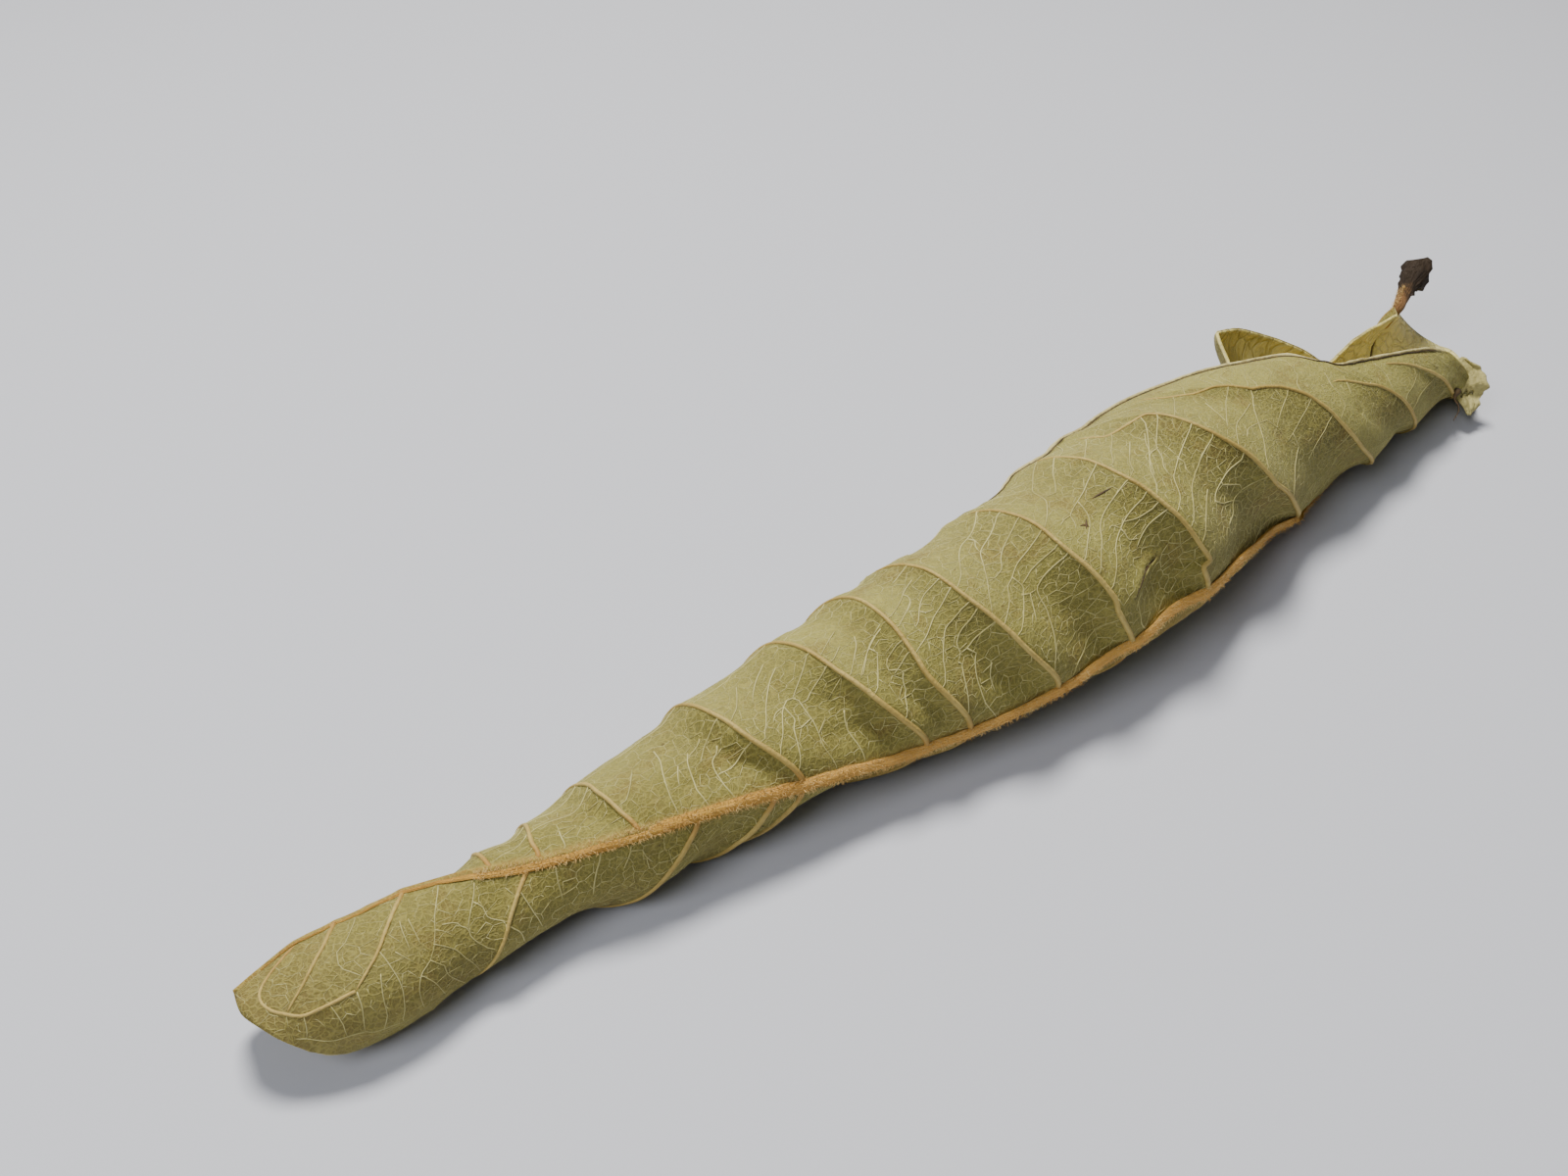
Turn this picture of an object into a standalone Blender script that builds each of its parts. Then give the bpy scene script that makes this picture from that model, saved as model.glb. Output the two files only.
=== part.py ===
"""A dried guava leaf, rolled lengthwise into a loose tube with its ribbed underside out.

Millimetres are used in the tables and turned into metres where the mesh is made.
X runs from the leaf's tip (low X) to its stem (high X), Z is up, and the roll lies
on the floor at z = 0. A place on the roll is given by its distance along the roll
and by its turn round it: turn 0 faces the low front side, 90 is the upper edge seen
from there, -90 the lower edge, and -180 is the back.
"""
import math

import bmesh
import bpy
import numpy as np

MM = 0.001
NAME = "dried_guava_leaf"

# the roll: distance from the tip, outer radius, sideways place of its axis
ROLL = (
    (-4.0, 1.60, -1.20), (-1.0, 2.60, -2.20), (4.0, 3.50, -3.10), (8.0, 3.60, -3.55),
    (12.0, 3.40, -3.40), (17.0, 3.55, -3.35), (22.0, 4.05, -3.65), (28.0, 4.45, -3.55),
    (34.0, 4.91, -3.55), (40.0, 5.40, -3.75), (46.0, 6.10, -4.35), (52.0, 6.80, -4.75),
    (58.0, 7.55, -4.55), (64.0, 8.05, -4.10), (70.0, 8.15, -3.44), (76.0, 7.95, -2.55),
    (82.0, 7.40, -1.75), (88.0, 6.81, -1.25), (94.0, 6.25, -1.05), (100.0, 5.66, -0.75),
    (106.0, 5.15, -0.20), (112.0, 4.78, 0.34), (118.0, 4.50, 0.85), (124.0, 4.30, 1.30),
)
FACING = 52.0              # how far turn 0 is tipped up from level, degrees
SAG = 0.22                 # how much of the underside is pressed flat by its own rest

# the blade: one line for each side vein or edge, as (distance, turn) where it leaves the
# midrib, then at a third, two thirds and the whole of the way to the two margins
BLADE = (
    ((-1.2, 70), ((-1.1, 95), (-0.7, 120), (0.6, 145)), ((-1.4, 30), (-0.6, -12), (0.9, -50))),
    ((5.2, 84), ((4.8, 120), (4.2, 155), (3.4, 190)), ((3.7, 34), (2.4, -18), (2.9, -80))),
    ((9.2, 80), ((8.8, 128), (8.2, 174), (7.2, 215)), ((7.2, 22), (5.6, -32), (5.4, -92))),
    ((14.2, 40), ((14.3, 98), (13.8, 158), (12.8, 217)), ((12.3, -14), (10.6, -62), (9.4, -110))),
    ((17.0, 19), ((17.8, 82), (17.4, 146), (16.2, 206)), ((14.9, -30), (12.9, -80), (11.8, -128))),
    ((22.8, -5), ((22.1, 60), (21.2, 125), (19.5, 192)), ((20.2, -55), (17.6, -105), (15.2, -152))),
    ((26.6, -19), ((25.4, 48), (24.4, 115), (22.2, 184)), ((23.9, -70), (20.4, -120), (17.2, -168))),
    ((31.4, -34), ((29.6, 36), (28.2, 106), (25.4, 177)), ((28.4, -86), (24.6, -137), (20.8, -187))),
    ((34.0, -43), ((31.5, 28), (30.6, 99), (28.0, 170)), ((30.8, -95), (26.8, -146), (22.6, -197))),
    ((43.1, -66), ((39.8, 6), (38.6, 78), (36.0, 150)), ((39.2, -120), (34.6, -173), (30.0, -226))),
    ((46.9, -70), ((43.9, -3), (44.0, 63), (41.4, 131)), ((42.6, -127), (38.0, -182), (33.6, -236))),
    ((53.8, -72), ((50.8, -13), (48.9, 46), (47.6, 106)), ((50.0, -132), (44.7, -191), (39.8, -246))),
    ((60.7, -73), ((58.2, -17), (56.4, 37), (54.2, 93)), ((56.5, -132), (51.3, -190), (46.4, -246))),
    ((69.3, -77), ((67.0, -21), (64.0, 33), (60.6, 88)), ((64.7, -138), (59.2, -194), (54.0, -244))),
    ((88.0, -104), ((80.7, -40), (73.5, 23), (65.8, 86)), ((83.5, -160), (78.0, -210), (72.0, -252))),
    ((100.0, -128), ((94.8, -57), (87.2, 14), (72.8, 84)), ((97.4, -165), (95.6, -210), (92.6, -256))),
    ((104.0, -143), ((100.6, -73), (91.9, -5), (91.6, 64)), ((102.0, -170), (100.2, -212), (97.6, -254))),
    ((105.7, -150), ((103.6, -85), (96.4, -20), (94.6, 46)), ((104.2, -176), (103.0, -213), (101.6, -249))),
    ((107.5, -158), ((106.8, -97), (101.3, -36), (92.9, 25)), ((105.9, -182), (104.8, -210), (103.6, -238))),
    ((111.6, -192), ((114.9, -120), (109.6, -49), (97.5, 23)), ((110.0, -204), (108.0, -216), (105.4, -228))),
    ((113.2, -223), ((119.8, -143), (113.4, -70), (107.4, 6)), ((112.1, -231), (110.5, -240), (108.7, -250))),
    ((114.5, -265), ((123.3, -163), (117.0, -87), (110.6, -9)), ((114.0, -264), (113.4, -263), (112.6, -262))),
)
SIDE_VEINS = (1, 2, 3, 4, 5, 6, 7, 8, 9, 10, 11, 12, 13, 14, 15, 18, 19)
ONLY_LOWER = (1, 2, 6, 7)       # these leave the midrib on the lower half alone
BETWEEN = {0: 1, 2: 1, 8: 2, 10: 1, 11: 1, 12: 2, 13: 4, 14: 3, 15: 1, 18: 1, 19: 1}

BLADE_THICK = 0.42
MIDRIB_RISE = (0.25, 0.95)      # at the tip and at the stem
VEIN_RISE = 0.42
VEIN_HALF_WIDTH = 0.42
ROWS_PER_HALF = 14

OVERLAP_LIFT = 0.95             # the upper margin lies over the lower one on the tip side
UNDER_SINK = 0.55
BACK_FLARE = 4.6                # the lower margin stands up behind the seam near the base
TIP_CUP = 0.40                  # the lower margin stands off near the tip
END_FLAP = 2.0                  # the underside turns out at the open end by the stem
FOOT_RISE = 0.6                 # the base of the blade stands up to meet the stem

# the stem: distance, sideways and height steps from the foot of the midrib, and radius
STEM_ROOT = ((20.35, 0.55), (20.7, 0.64))
STEM = (
    (0.1, 0.0, 0.1, 0.66), (1.6, 0.65, 0.35, 0.70), (3.1, 1.25, 0.65, 0.80),
    (4.6, 1.80, 0.90, 1.00), (5.5, 2.15, 1.05, 1.28), (6.4, 2.45, 1.20, 1.34),
    (7.0, 2.65, 1.30, 1.08),
)


def smooth(value, low, high):
    """0 below low, 1 above high, and an even slope between."""
    t = np.clip((np.asarray(value, float) - low) / (high - low), 0.0, 1.0)
    return t * t * (3.0 - 2.0 * t)


def curve_through(stations, values, at):
    """Smooth line through the values that never overshoots them."""
    x = np.asarray(stations, float)
    y = np.asarray(values, float)
    step = np.diff(x)
    rise = np.diff(y) / step
    slope = np.zeros(len(x))
    for i in range(1, len(x) - 1):
        if rise[i - 1] * rise[i] > 0:
            a = 2 * step[i] + step[i - 1]
            b = step[i] + 2 * step[i - 1]
            slope[i] = (a + b) / (a / rise[i - 1] + b / rise[i])
    slope[0] = rise[0]
    slope[-1] = rise[-1]
    at = np.clip(np.asarray(at, float), x[0], x[-1])
    k = np.clip(np.searchsorted(x, at, side="right") - 1, 0, len(x) - 2)
    t = (at - x[k]) / step[k]
    h00 = (1 + 2 * t) * (1 - t) ** 2
    h10 = t * (1 - t) ** 2
    h01 = t * t * (3 - 2 * t)
    h11 = t * t * (t - 1)
    return h00 * y[k] + h10 * step[k] * slope[k] + h01 * y[k + 1] + h11 * step[k] * slope[k + 1]


def net_line(line):
    """Seven places on one line of the blade, from the lower margin to the upper one."""
    middle, upper, lower = line
    return [lower[2], lower[1], lower[0], middle, upper[0], upper[1], upper[2]]


def blade_place(k, q):
    """Distance and turn at line k of the blade and share q of the way to a margin."""
    lines = np.array([net_line(line) for line in BLADE], float)
    index = np.arange(len(lines))
    shares = np.linspace(-1.0, 1.0, 7)
    out = []
    for part in range(2):
        row = [curve_through(index, lines[:, j, part], [k])[0] for j in range(7)]
        out.append(curve_through(shares, row, [q])[0])
    return out


def roll_place(x, turn, lift):
    """Place in space, in millimetres, of a point of the roll's outer face."""
    stations = [s[0] for s in ROLL]
    radius = float(curve_through(stations, [s[1] for s in ROLL], [x])[0])
    side = float(curve_through(stations, [s[2] for s in ROLL], [x])[0])
    level = math.radians(FACING)
    angle = math.radians(turn)
    out = radius + lift
    front = out * math.cos(angle)
    up = out * math.sin(angle)
    y = side - front * math.cos(level) + up * math.sin(level)
    z = radius - SAG + front * math.sin(level) + up * math.cos(level)
    return x, y, z


def settle(z, floor, soft=0.12):
    """Presses flat what would pass below the floor."""
    return floor + soft * math.log1p(math.exp((z - floor) / soft)) if z < 2.0 else z


def layer_lift(k, q, x):
    """How far a place stands off the plain roll, so that its turns don't meet."""
    over = float(smooth(q, 0.35, 0.8) * smooth(x, 6, 14) * (1 - smooth(x, 48, 60)))
    under = float(smooth(-q, 0.35, 0.8) * smooth(x, 6, 16) * (1 - smooth(x, 74, 84)))
    flare = float(smooth(-q, 0.62, 1.0) * smooth(k, 14.78, 15.02) * (1 - smooth(k, 15.2, 17.8)))
    cup = float(smooth(-q, 0.3, 1.0) * (1 - smooth(k, 1.6, 3.2)))
    wall = float(smooth(k, 18.0, 20.0) * smooth(-abs(q), -0.5, 0.0))
    flap = float(smooth(k, 19.6, 21.0) * smooth(q, 0.3, 0.5) * (1 - smooth(q, 0.6, 0.85)))
    turns = OVERLAP_LIFT * over - UNDER_SINK * under
    edges = BACK_FLARE * flare + TIP_CUP * cup + END_FLAP * flap
    return turns + edges + FOOT_RISE * wall


def column_list():
    """Line numbers of the mesh columns, with three for each raised side vein."""
    columns = []
    last = len(BLADE) - 1
    for k in range(len(BLADE)):
        here = blade_place(k, 0.0)
        if k in SIDE_VEINS:
            before = blade_place(k - 1, 0.0)
            after = blade_place(k + 1, 0.0)
            gap_a = math.hypot(here[0] - before[0], (here[1] - before[1]) * 0.09)
            gap_b = math.hypot(here[0] - after[0], (here[1] - after[1]) * 0.09)
            columns.append((k - min(0.4, 2.0 * VEIN_HALF_WIDTH / gap_a), 0))
            columns.append((k, 1))
            columns.append((k + min(0.4, 2.0 * VEIN_HALF_WIDTH / gap_b), 0))
        else:
            columns.append((k, 0))
        extra = BETWEEN.get(k, 0)
        if k < last:
            for n in range(extra):
                columns.append((k + (n + 1.0) / (extra + 1.0) if extra > 1 else k + 0.5, 0))
    return sorted(columns)


def row_list():
    """Shares across the blade, with three rows for the raised midrib."""
    rows = []
    for side in (-1, 1):
        for n in range(1, ROWS_PER_HALF + 1):
            rows.append((side * (0.07 + 0.93 * n / ROWS_PER_HALF), 0))
    return sorted(rows + [(-0.045, 0), (0.0, 1), (0.045, 0)])


def material(name, colour, rough):
    """Plain surface of one real material."""
    out = bpy.data.materials.new(name)
    out.use_nodes = True
    shader = out.node_tree.nodes["Principled BSDF"]
    shader.inputs["Base Color"].default_value = (*colour, 1.0)
    shader.inputs["Roughness"].default_value = rough
    return out


def build_blade(collection):
    """The blade with its midrib and side veins, as one open grid given its thickness."""
    columns = column_list()
    rows = row_list()
    mesh = bmesh.new()
    bmesh.ops.create_grid(mesh, x_segments=len(columns) - 1, y_segments=len(rows) - 1, size=1.0)
    rib = mesh.verts.layers.deform.verify()
    most = BLADE_THICK + MIDRIB_RISE[1]
    for vert in mesh.verts:
        i = int(round((vert.co.x + 1) / 2 * (len(columns) - 1)))
        j = int(round((vert.co.y + 1) / 2 * (len(rows) - 1)))
        k, crest = columns[i]
        q, middle = rows[j]
        x, turn = blade_place(k, q)
        spot = roll_place(x, turn, layer_lift(k, q, x) - BLADE_THICK)
        thick = BLADE_THICK
        along = smooth(x, 0, 112)
        if middle:
            thick += MIDRIB_RISE[0] + (MIDRIB_RISE[1] - MIDRIB_RISE[0]) * float(along)
        elif crest and abs(q) < 0.93 and not (q > 0 and k in ONLY_LOWER):
            thick += VEIN_RISE * (1.0 - 0.75 * float(smooth(abs(q), 0.1, 0.95)))
        vert[rib][0] = thick / most
        vert.co = (spot[0] * MM, spot[1] * MM, settle(spot[2], thick) * MM)
    body = bpy.data.meshes.new("leaf")
    mesh.to_mesh(body)
    mesh.free()
    leaf = bpy.data.objects.new("leaf", body)
    collection.objects.link(leaf)
    leaf.vertex_groups.new(name="rib")
    shell = leaf.modifiers.new("thickness", "SOLIDIFY")
    shell.thickness = most * MM
    shell.offset = 1.0
    shell.vertex_group = "rib"
    shell.use_even_offset = False
    shell.use_rim = True
    return leaf


def build_stem(collection):
    """The leaf stalk with its knobbly broken end."""
    data = bpy.data.curves.new("stem", "CURVE")
    data.dimensions = "3D"
    data.bevel_depth = 1.0 * MM
    data.bevel_resolution = 2
    data.use_fill_caps = True
    spots = []
    for k, radius in STEM_ROOT:
        x, turn = blade_place(k, 0.0)
        spots.append((*roll_place(x, turn, layer_lift(k, 0.0, x)), radius))
    last = len(BLADE) - 1
    x, turn = blade_place(last, 0.0)
    foot = roll_place(x, turn, layer_lift(last, 0.0, x) - 0.5 * BLADE_THICK)
    for dx, dy, dz, radius in STEM:
        spots.append((foot[0] + dx, foot[1] + dy, foot[2] + dz, radius))
    line = data.splines.new("POLY")
    line.points.add(len(spots) - 1)
    for point, (x, y, z, radius) in zip(line.points, spots):
        point.co = (x * MM, y * MM, z * MM, 1.0)
        point.radius = radius
    bar = bpy.data.objects.new("stem_line", data)
    collection.objects.link(bar)
    shape = bpy.data.meshes.new_from_object(bar.evaluated_get(bpy.context.evaluated_depsgraph_get()))
    weld = bmesh.new()
    weld.from_mesh(shape)
    bmesh.ops.remove_doubles(weld, verts=weld.verts, dist=0.00001)
    bmesh.ops.recalc_face_normals(weld, faces=weld.faces)
    weld.to_mesh(shape)
    weld.free()
    stem = bpy.data.objects.new("stem_cutter", shape)
    stem.matrix_world = bar.matrix_world
    bpy.data.objects.remove(bar)
    collection.objects.link(stem)
    stem.hide_render = True
    stem.display_type = "WIRE"
    return stem


def centre_on_floor(leaf, stem):
    """Moves the finished leaf so that its outline is centred on the origin, on the floor."""
    finished = leaf.evaluated_get(bpy.context.evaluated_depsgraph_get()).to_mesh()
    spots = np.array([vert.co[:] for vert in finished.vertices])
    low = spots.min(axis=0)
    high = spots.max(axis=0)
    middle = (low + high) / 2
    for shape in (leaf.data, stem.data):
        for vert in shape.vertices:
            vert.co.x -= middle[0]
            vert.co.y -= middle[1]
            vert.co.z -= low[2]


def main():
    for old in list(bpy.data.objects):
        bpy.data.objects.remove(old)
    parts = bpy.data.collections.new(NAME)
    cutters = bpy.data.collections.new("cutters")
    bpy.context.scene.collection.children.link(parts)
    bpy.context.scene.collection.children.link(cutters)
    leaf = build_blade(parts)
    leaf.data.materials.append(material("dried_leaf", (0.36, 0.34, 0.17), 0.8))
    stem = build_stem(cutters)
    stem.data.materials.append(leaf.data.materials[0])
    join = leaf.modifiers.new("stem", "BOOLEAN")
    join.operation = "UNION"
    join.solver = "EXACT"
    join.object = stem
    centre_on_floor(leaf, stem)


main()
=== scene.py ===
"""The finish of a dried guava leaf, rolled into a tube with its ribbed underside out.

Lengths in the tables are millimetres and turns are degrees. A place on the leaf is given by
k, the number of the line of the blade that runs from the midrib to the margins, and by q,
the share of the way from the midrib (0) to the upper margin (1) or to the lower margin (-1).
"""
import math
import random

import bmesh
import bpy
import numpy as np
from mathutils import Matrix, Vector, geometry, noise
from mathutils.kdtree import KDTree


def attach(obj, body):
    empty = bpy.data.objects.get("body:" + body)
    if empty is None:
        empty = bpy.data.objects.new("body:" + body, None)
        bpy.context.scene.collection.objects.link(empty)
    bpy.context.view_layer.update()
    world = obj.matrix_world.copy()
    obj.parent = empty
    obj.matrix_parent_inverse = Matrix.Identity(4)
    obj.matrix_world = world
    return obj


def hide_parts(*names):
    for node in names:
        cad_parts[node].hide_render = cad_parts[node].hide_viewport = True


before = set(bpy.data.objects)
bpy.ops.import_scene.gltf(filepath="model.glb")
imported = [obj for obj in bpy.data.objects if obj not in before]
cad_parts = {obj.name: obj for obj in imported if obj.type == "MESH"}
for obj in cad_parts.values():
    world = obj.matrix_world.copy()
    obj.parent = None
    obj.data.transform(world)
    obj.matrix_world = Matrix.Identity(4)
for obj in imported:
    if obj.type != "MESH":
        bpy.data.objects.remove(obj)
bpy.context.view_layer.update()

bl_info = {
    "name": "Dried guava leaf",
    "version": (1, 0, 0),
    "blender": (4, 5, 0),
    "location": "View3D > Sidebar > Leaf",
    "description": "Builds the finished surface of a dried, rolled guava leaf",
    "category": "Object",
}

MM = 0.001
BODY = "root"
NODE = "leaf"
SHIFT = (-60.8575, 1.7695, 0.0)     # from the tables' places to the part's frame
FLAT_SPAN = 130.0                   # mm of the unrolled leaf that the map "flat" covers
STEP = 0.3                          # mm from one point of a vein to the next
OUTWARD_SPAN = 25.0                 # mm from the midrib over which a side vein changes colour
FLOOR_GAP = 0.46                    # lowest height in mm of the blade's outer face
LOWEST = 0.05                       # lowest height in mm of the midrib's underside
TEAR_LIP = 0.18                     # mm round the tear within which the mesh follows its edge
MIDRIB_SIDES = 18                   # faces round the midrib
FLAP_COLUMNS, FLAP_ROWS = 26, 34    # mesh of the torn flap
MARGIN_WEAR = 0.012                 # how far the margins are worn back, as a share of q

# the camera's right, up and forward directions, and its place in mm
VIEW = ((0.8012, -0.5984, 0.0), (0.3846, 0.5150, 0.7660), (0.4584, 0.6138, -0.6428))
VIEW_PLACE = (-66.472, -57.610, 76.336)

# the roll: distance from the tip, outer radius, sideways place of its axis
ROLL = (
    (-4.0, 1.60, -1.20), (-1.0, 2.60, -2.20), (4.0, 3.50, -3.10), (8.0, 3.60, -3.55),
    (12.0, 3.40, -3.40), (17.0, 3.55, -3.35), (22.0, 4.05, -3.65), (28.0, 4.45, -3.55),
    (34.0, 4.91, -3.55), (40.0, 5.40, -3.75), (46.0, 6.10, -4.35), (52.0, 6.80, -4.75),
    (58.0, 7.55, -4.55), (64.0, 8.05, -4.10), (70.0, 8.15, -3.44), (76.0, 7.95, -2.55),
    (82.0, 7.40, -1.75), (88.0, 6.81, -1.25), (94.0, 6.25, -1.05), (100.0, 5.66, -0.75),
    (106.0, 5.15, -0.20), (112.0, 4.78, 0.34), (118.0, 4.50, 0.85), (124.0, 4.30, 1.30),
)
FACING = 52.0                       # degrees from the floor to the turn that faces the camera
SAG = 0.22                          # mm that the roll sinks on to the floor

# each line of the blade: (distance, turn) at the midrib, then at a third, two thirds and
# the whole of the way to the upper margin, and the same to the lower margin
BLADE = (
    ((-1.2, 70), ((-1.1, 95), (-0.7, 120), (0.6, 145)), ((-1.4, 30), (-0.6, -12), (0.9, -50))),
    ((5.2, 84), ((4.8, 120), (4.2, 155), (3.4, 190)), ((3.7, 34), (2.4, -18), (2.9, -80))),
    ((9.2, 80), ((8.8, 128), (8.2, 174), (7.2, 215)), ((7.2, 22), (5.6, -32), (5.4, -92))),
    ((14.2, 40), ((14.3, 98), (13.8, 158), (12.8, 217)), ((12.3, -14), (10.6, -62), (9.4, -110))),
    ((17.0, 19), ((17.8, 82), (17.4, 146), (16.2, 206)), ((14.9, -30), (12.9, -80), (11.8, -128))),
    ((22.8, -5), ((22.1, 60), (21.2, 125), (19.5, 192)), ((20.2, -55), (17.6, -105), (15.2, -152))),
    ((26.6, -19), ((25.4, 48), (24.4, 115), (22.2, 184)),
     ((23.9, -70), (20.4, -120), (17.2, -168))),
    ((31.4, -34), ((29.6, 36), (28.2, 106), (25.4, 177)),
     ((28.4, -86), (24.6, -137), (20.8, -187))),
    ((34.0, -43), ((31.5, 28), (30.6, 99), (28.0, 170)), ((30.8, -95), (26.8, -146), (22.6, -197))),
    ((43.1, -66), ((39.8, 6), (38.6, 78), (36.0, 150)), ((39.2, -120), (34.6, -173), (30.0, -226))),
    ((46.9, -70), ((43.9, -3), (44.0, 63), (41.4, 131)),
     ((42.6, -127), (38.0, -182), (33.6, -236))),
    ((53.8, -72), ((50.8, -13), (48.9, 46), (47.6, 106)),
     ((50.0, -132), (44.7, -191), (39.8, -246))),
    ((60.7, -73), ((58.2, -17), (56.4, 37), (54.2, 93)),
     ((56.5, -132), (51.3, -190), (46.4, -246))),
    ((69.3, -77), ((67.0, -21), (64.0, 33), (60.6, 88)),
     ((64.7, -138), (59.2, -194), (54.0, -244))),
    ((88.0, -104), ((80.7, -40), (73.5, 23), (65.8, 86)),
     ((83.5, -160), (78.0, -210), (72.0, -252))),
    ((100.0, -128), ((94.8, -57), (87.2, 14), (72.8, 84)),
     ((97.4, -165), (95.6, -210), (92.6, -256))),
    ((104.0, -143), ((100.6, -73), (92.6, -3), (90.6, 60)),
     ((102.0, -170), (100.2, -212), (97.6, -254))),
    ((105.7, -150), ((103.6, -85), (96.4, -20), (92.9, 36)),
     ((104.2, -176), (103.0, -213), (101.6, -249))),
    ((107.5, -158), ((106.8, -97), (101.3, -36), (94.3, 26)),
     ((105.9, -182), (104.8, -210), (103.6, -238))),
    ((111.6, -192), ((114.9, -120), (109.6, -49), (98.2, 22.8)),
     ((110.0, -204), (108.0, -216), (105.4, -228))),
    ((113.2, -223), ((119.8, -143), (113.4, -70), (107.4, 6)),
     ((112.1, -231), (110.5, -240), (108.7, -250))),
    ((114.5, -265), ((123.3, -163), (117.0, -87), (110.6, -9)),
     ((114.2, -265.5), (113.8, -266), (113.3, -266.5))),
)
LAST = len(BLADE) - 1

# how the turns stand off the plain roll, as in the part's own solid
OVERLAP_LIFT = 0.95
UNDER_SINK = 0.55
BACK_FLARE = 4.6
TIP_CUP = 0.40
END_FLAP = 2.0
FOOT_RISE = 0.6

# side veins of the upper half, as (k, q) from the midrib outwards
UPPER_VEINS = (
    ((3.02, 0.00), (3.02, 0.05), (3.00, 0.27), (3.02, 0.60), (3.00, 0.86)),
    ((3.99, 0.00), (3.98, 0.06), (3.94, 0.11), (3.99, 0.28), (4.04, 0.42), (4.00, 0.70),
     (3.95, 0.86)),
    ((5.02, 0.00), (5.00, 0.05), (4.96, 0.14), (4.98, 0.27), (5.08, 0.42), (5.08, 0.52),
     (5.02, 0.70), (4.95, 0.86)),
    ((8.02, 0.00), (8.02, 0.03), (7.99, 0.22), (8.02, 0.37), (7.96, 0.47), (7.94, 0.55),
     (7.92, 0.70), (7.88, 0.86)),
    ((9.08, 0.00), (9.08, 0.03), (9.03, 0.18), (9.04, 0.30), (8.96, 0.43), (8.94, 0.55),
     (8.92, 0.70), (8.88, 0.87)),
    ((9.99, 0.00), (10.00, 0.04), (10.05, 0.26), (10.03, 0.39), (10.00, 0.52), (9.98, 0.61),
     (9.95, 0.75), (9.88, 0.87)),
    ((11.03, 0.02), (11.03, 0.06), (10.99, 0.22), (10.98, 0.33), (10.94, 0.44), (10.90, 0.57),
     (10.91, 0.67), (10.89, 0.76), (10.84, 0.87)),
    ((12.03, 0.06), (12.00, 0.09), (11.97, 0.22), (12.02, 0.29), (11.99, 0.41), (11.95, 0.54),
     (11.98, 0.65), (12.00, 0.74), (12.02, 0.83), (12.03, 0.90)),
    ((12.96, 0.09), (12.99, 0.12), (12.97, 0.20), (13.05, 0.22), (13.03, 0.28), (13.00, 0.40),
     (12.98, 0.49), (12.98, 0.59), (13.00, 0.68), (13.04, 0.76), (13.08, 0.85), (13.12, 0.93)),
    ((13.94, 0.04), (13.96, 0.18), (13.99, 0.32), (13.93, 0.41), (13.95, 0.52), (13.96, 0.60),
     (14.00, 0.68), (14.04, 0.75), (14.06, 0.80), (13.94, 0.82), (13.73, 0.84), (13.80, 0.92)),
    ((15.05, 0.00), (15.13, 0.16), (15.10, 0.26), (14.92, 0.40), (14.89, 0.50), (14.95, 0.60),
     (15.00, 0.66), (14.97, 0.70), (14.87, 0.725), (14.75, 0.735), (14.76, 0.766), (14.72, 0.796),
     (14.58, 0.81), (14.56, 0.85), (14.66, 0.91)),
    ((17.80, 0.00), (17.92, 0.25), (17.96, 0.43), (18.03, 0.643), (18.05, 0.74), (18.01, 0.81),
     (17.81, 0.843), (17.09, 0.829), (16.38, 0.783), (15.99, 0.75)),
    ((19.02, 0.00), (19.10, 0.30), (19.24, 0.656), (19.44, 0.798), (19.39, 0.868), (19.23, 0.928),
     (19.02, 0.947)),
)
# side veins of the lower half
LOWER_VEINS = (
    ((1.02, 0.00), (1.00, -0.02), (0.99, -0.23), (0.84, -0.37), (0.69, -0.46), (0.41, -0.57)),
    ((2.04, 0.00), (2.02, -0.09), (1.96, -0.23), (1.84, -0.40), (1.66, -0.53), (1.56, -0.58)),
    ((3.90, 0.00), (3.79, -0.03), (3.57, -0.19), (3.51, -0.35), (3.50, -0.56), (3.36, -0.77)),
    ((6.02, 0.00), (5.99, -0.04), (5.89, -0.14), (5.87, -0.24), (5.82, -0.45), (5.75, -0.65),
     (5.55, -0.82)),
    ((7.20, 0.00), (7.15, -0.05), (7.09, -0.11), (7.10, -0.30), (6.95, -0.60), (6.75, -0.83)),
    ((8.00, 0.00), (7.95, -0.30), (7.90, -0.60), (7.75, -0.84)),
    ((9.00, 0.00), (8.95, -0.30), (8.95, -0.60), (8.80, -0.85)),
    ((10.00, 0.00), (9.97, -0.30), (9.92, -0.60), (9.80, -0.86)),
    ((11.00, 0.00), (11.00, -0.30), (10.94, -0.60), (10.82, -0.86)),
    ((12.00, 0.00), (11.97, -0.30), (12.00, -0.60), (11.85, -0.86)),
    ((13.00, 0.00), (13.02, -0.30), (12.97, -0.60), (12.85, -0.86)),
    ((14.00, 0.00), (13.97, -0.30), (13.94, -0.60), (13.80, -0.86)),
    ((15.00, 0.00), (14.97, -0.30), (14.90, -0.60), (14.70, -0.86)),
    ((18.00, 0.00), (17.90, -0.30), (17.60, -0.60), (17.20, -0.84)),
    ((19.00, 0.00), (18.95, -0.40), (18.70, -0.80)),
)
# the vein that loops inside the lower margin at the tip
TIP_LOOP = (
    (1.56, -0.58), (1.11, -0.62), (0.68, -0.632), (0.40, -0.575), (0.26, -0.49),
    (0.22, -0.384), (0.23, -0.32), (0.37, -0.17), (0.60, -0.05),
)
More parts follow.
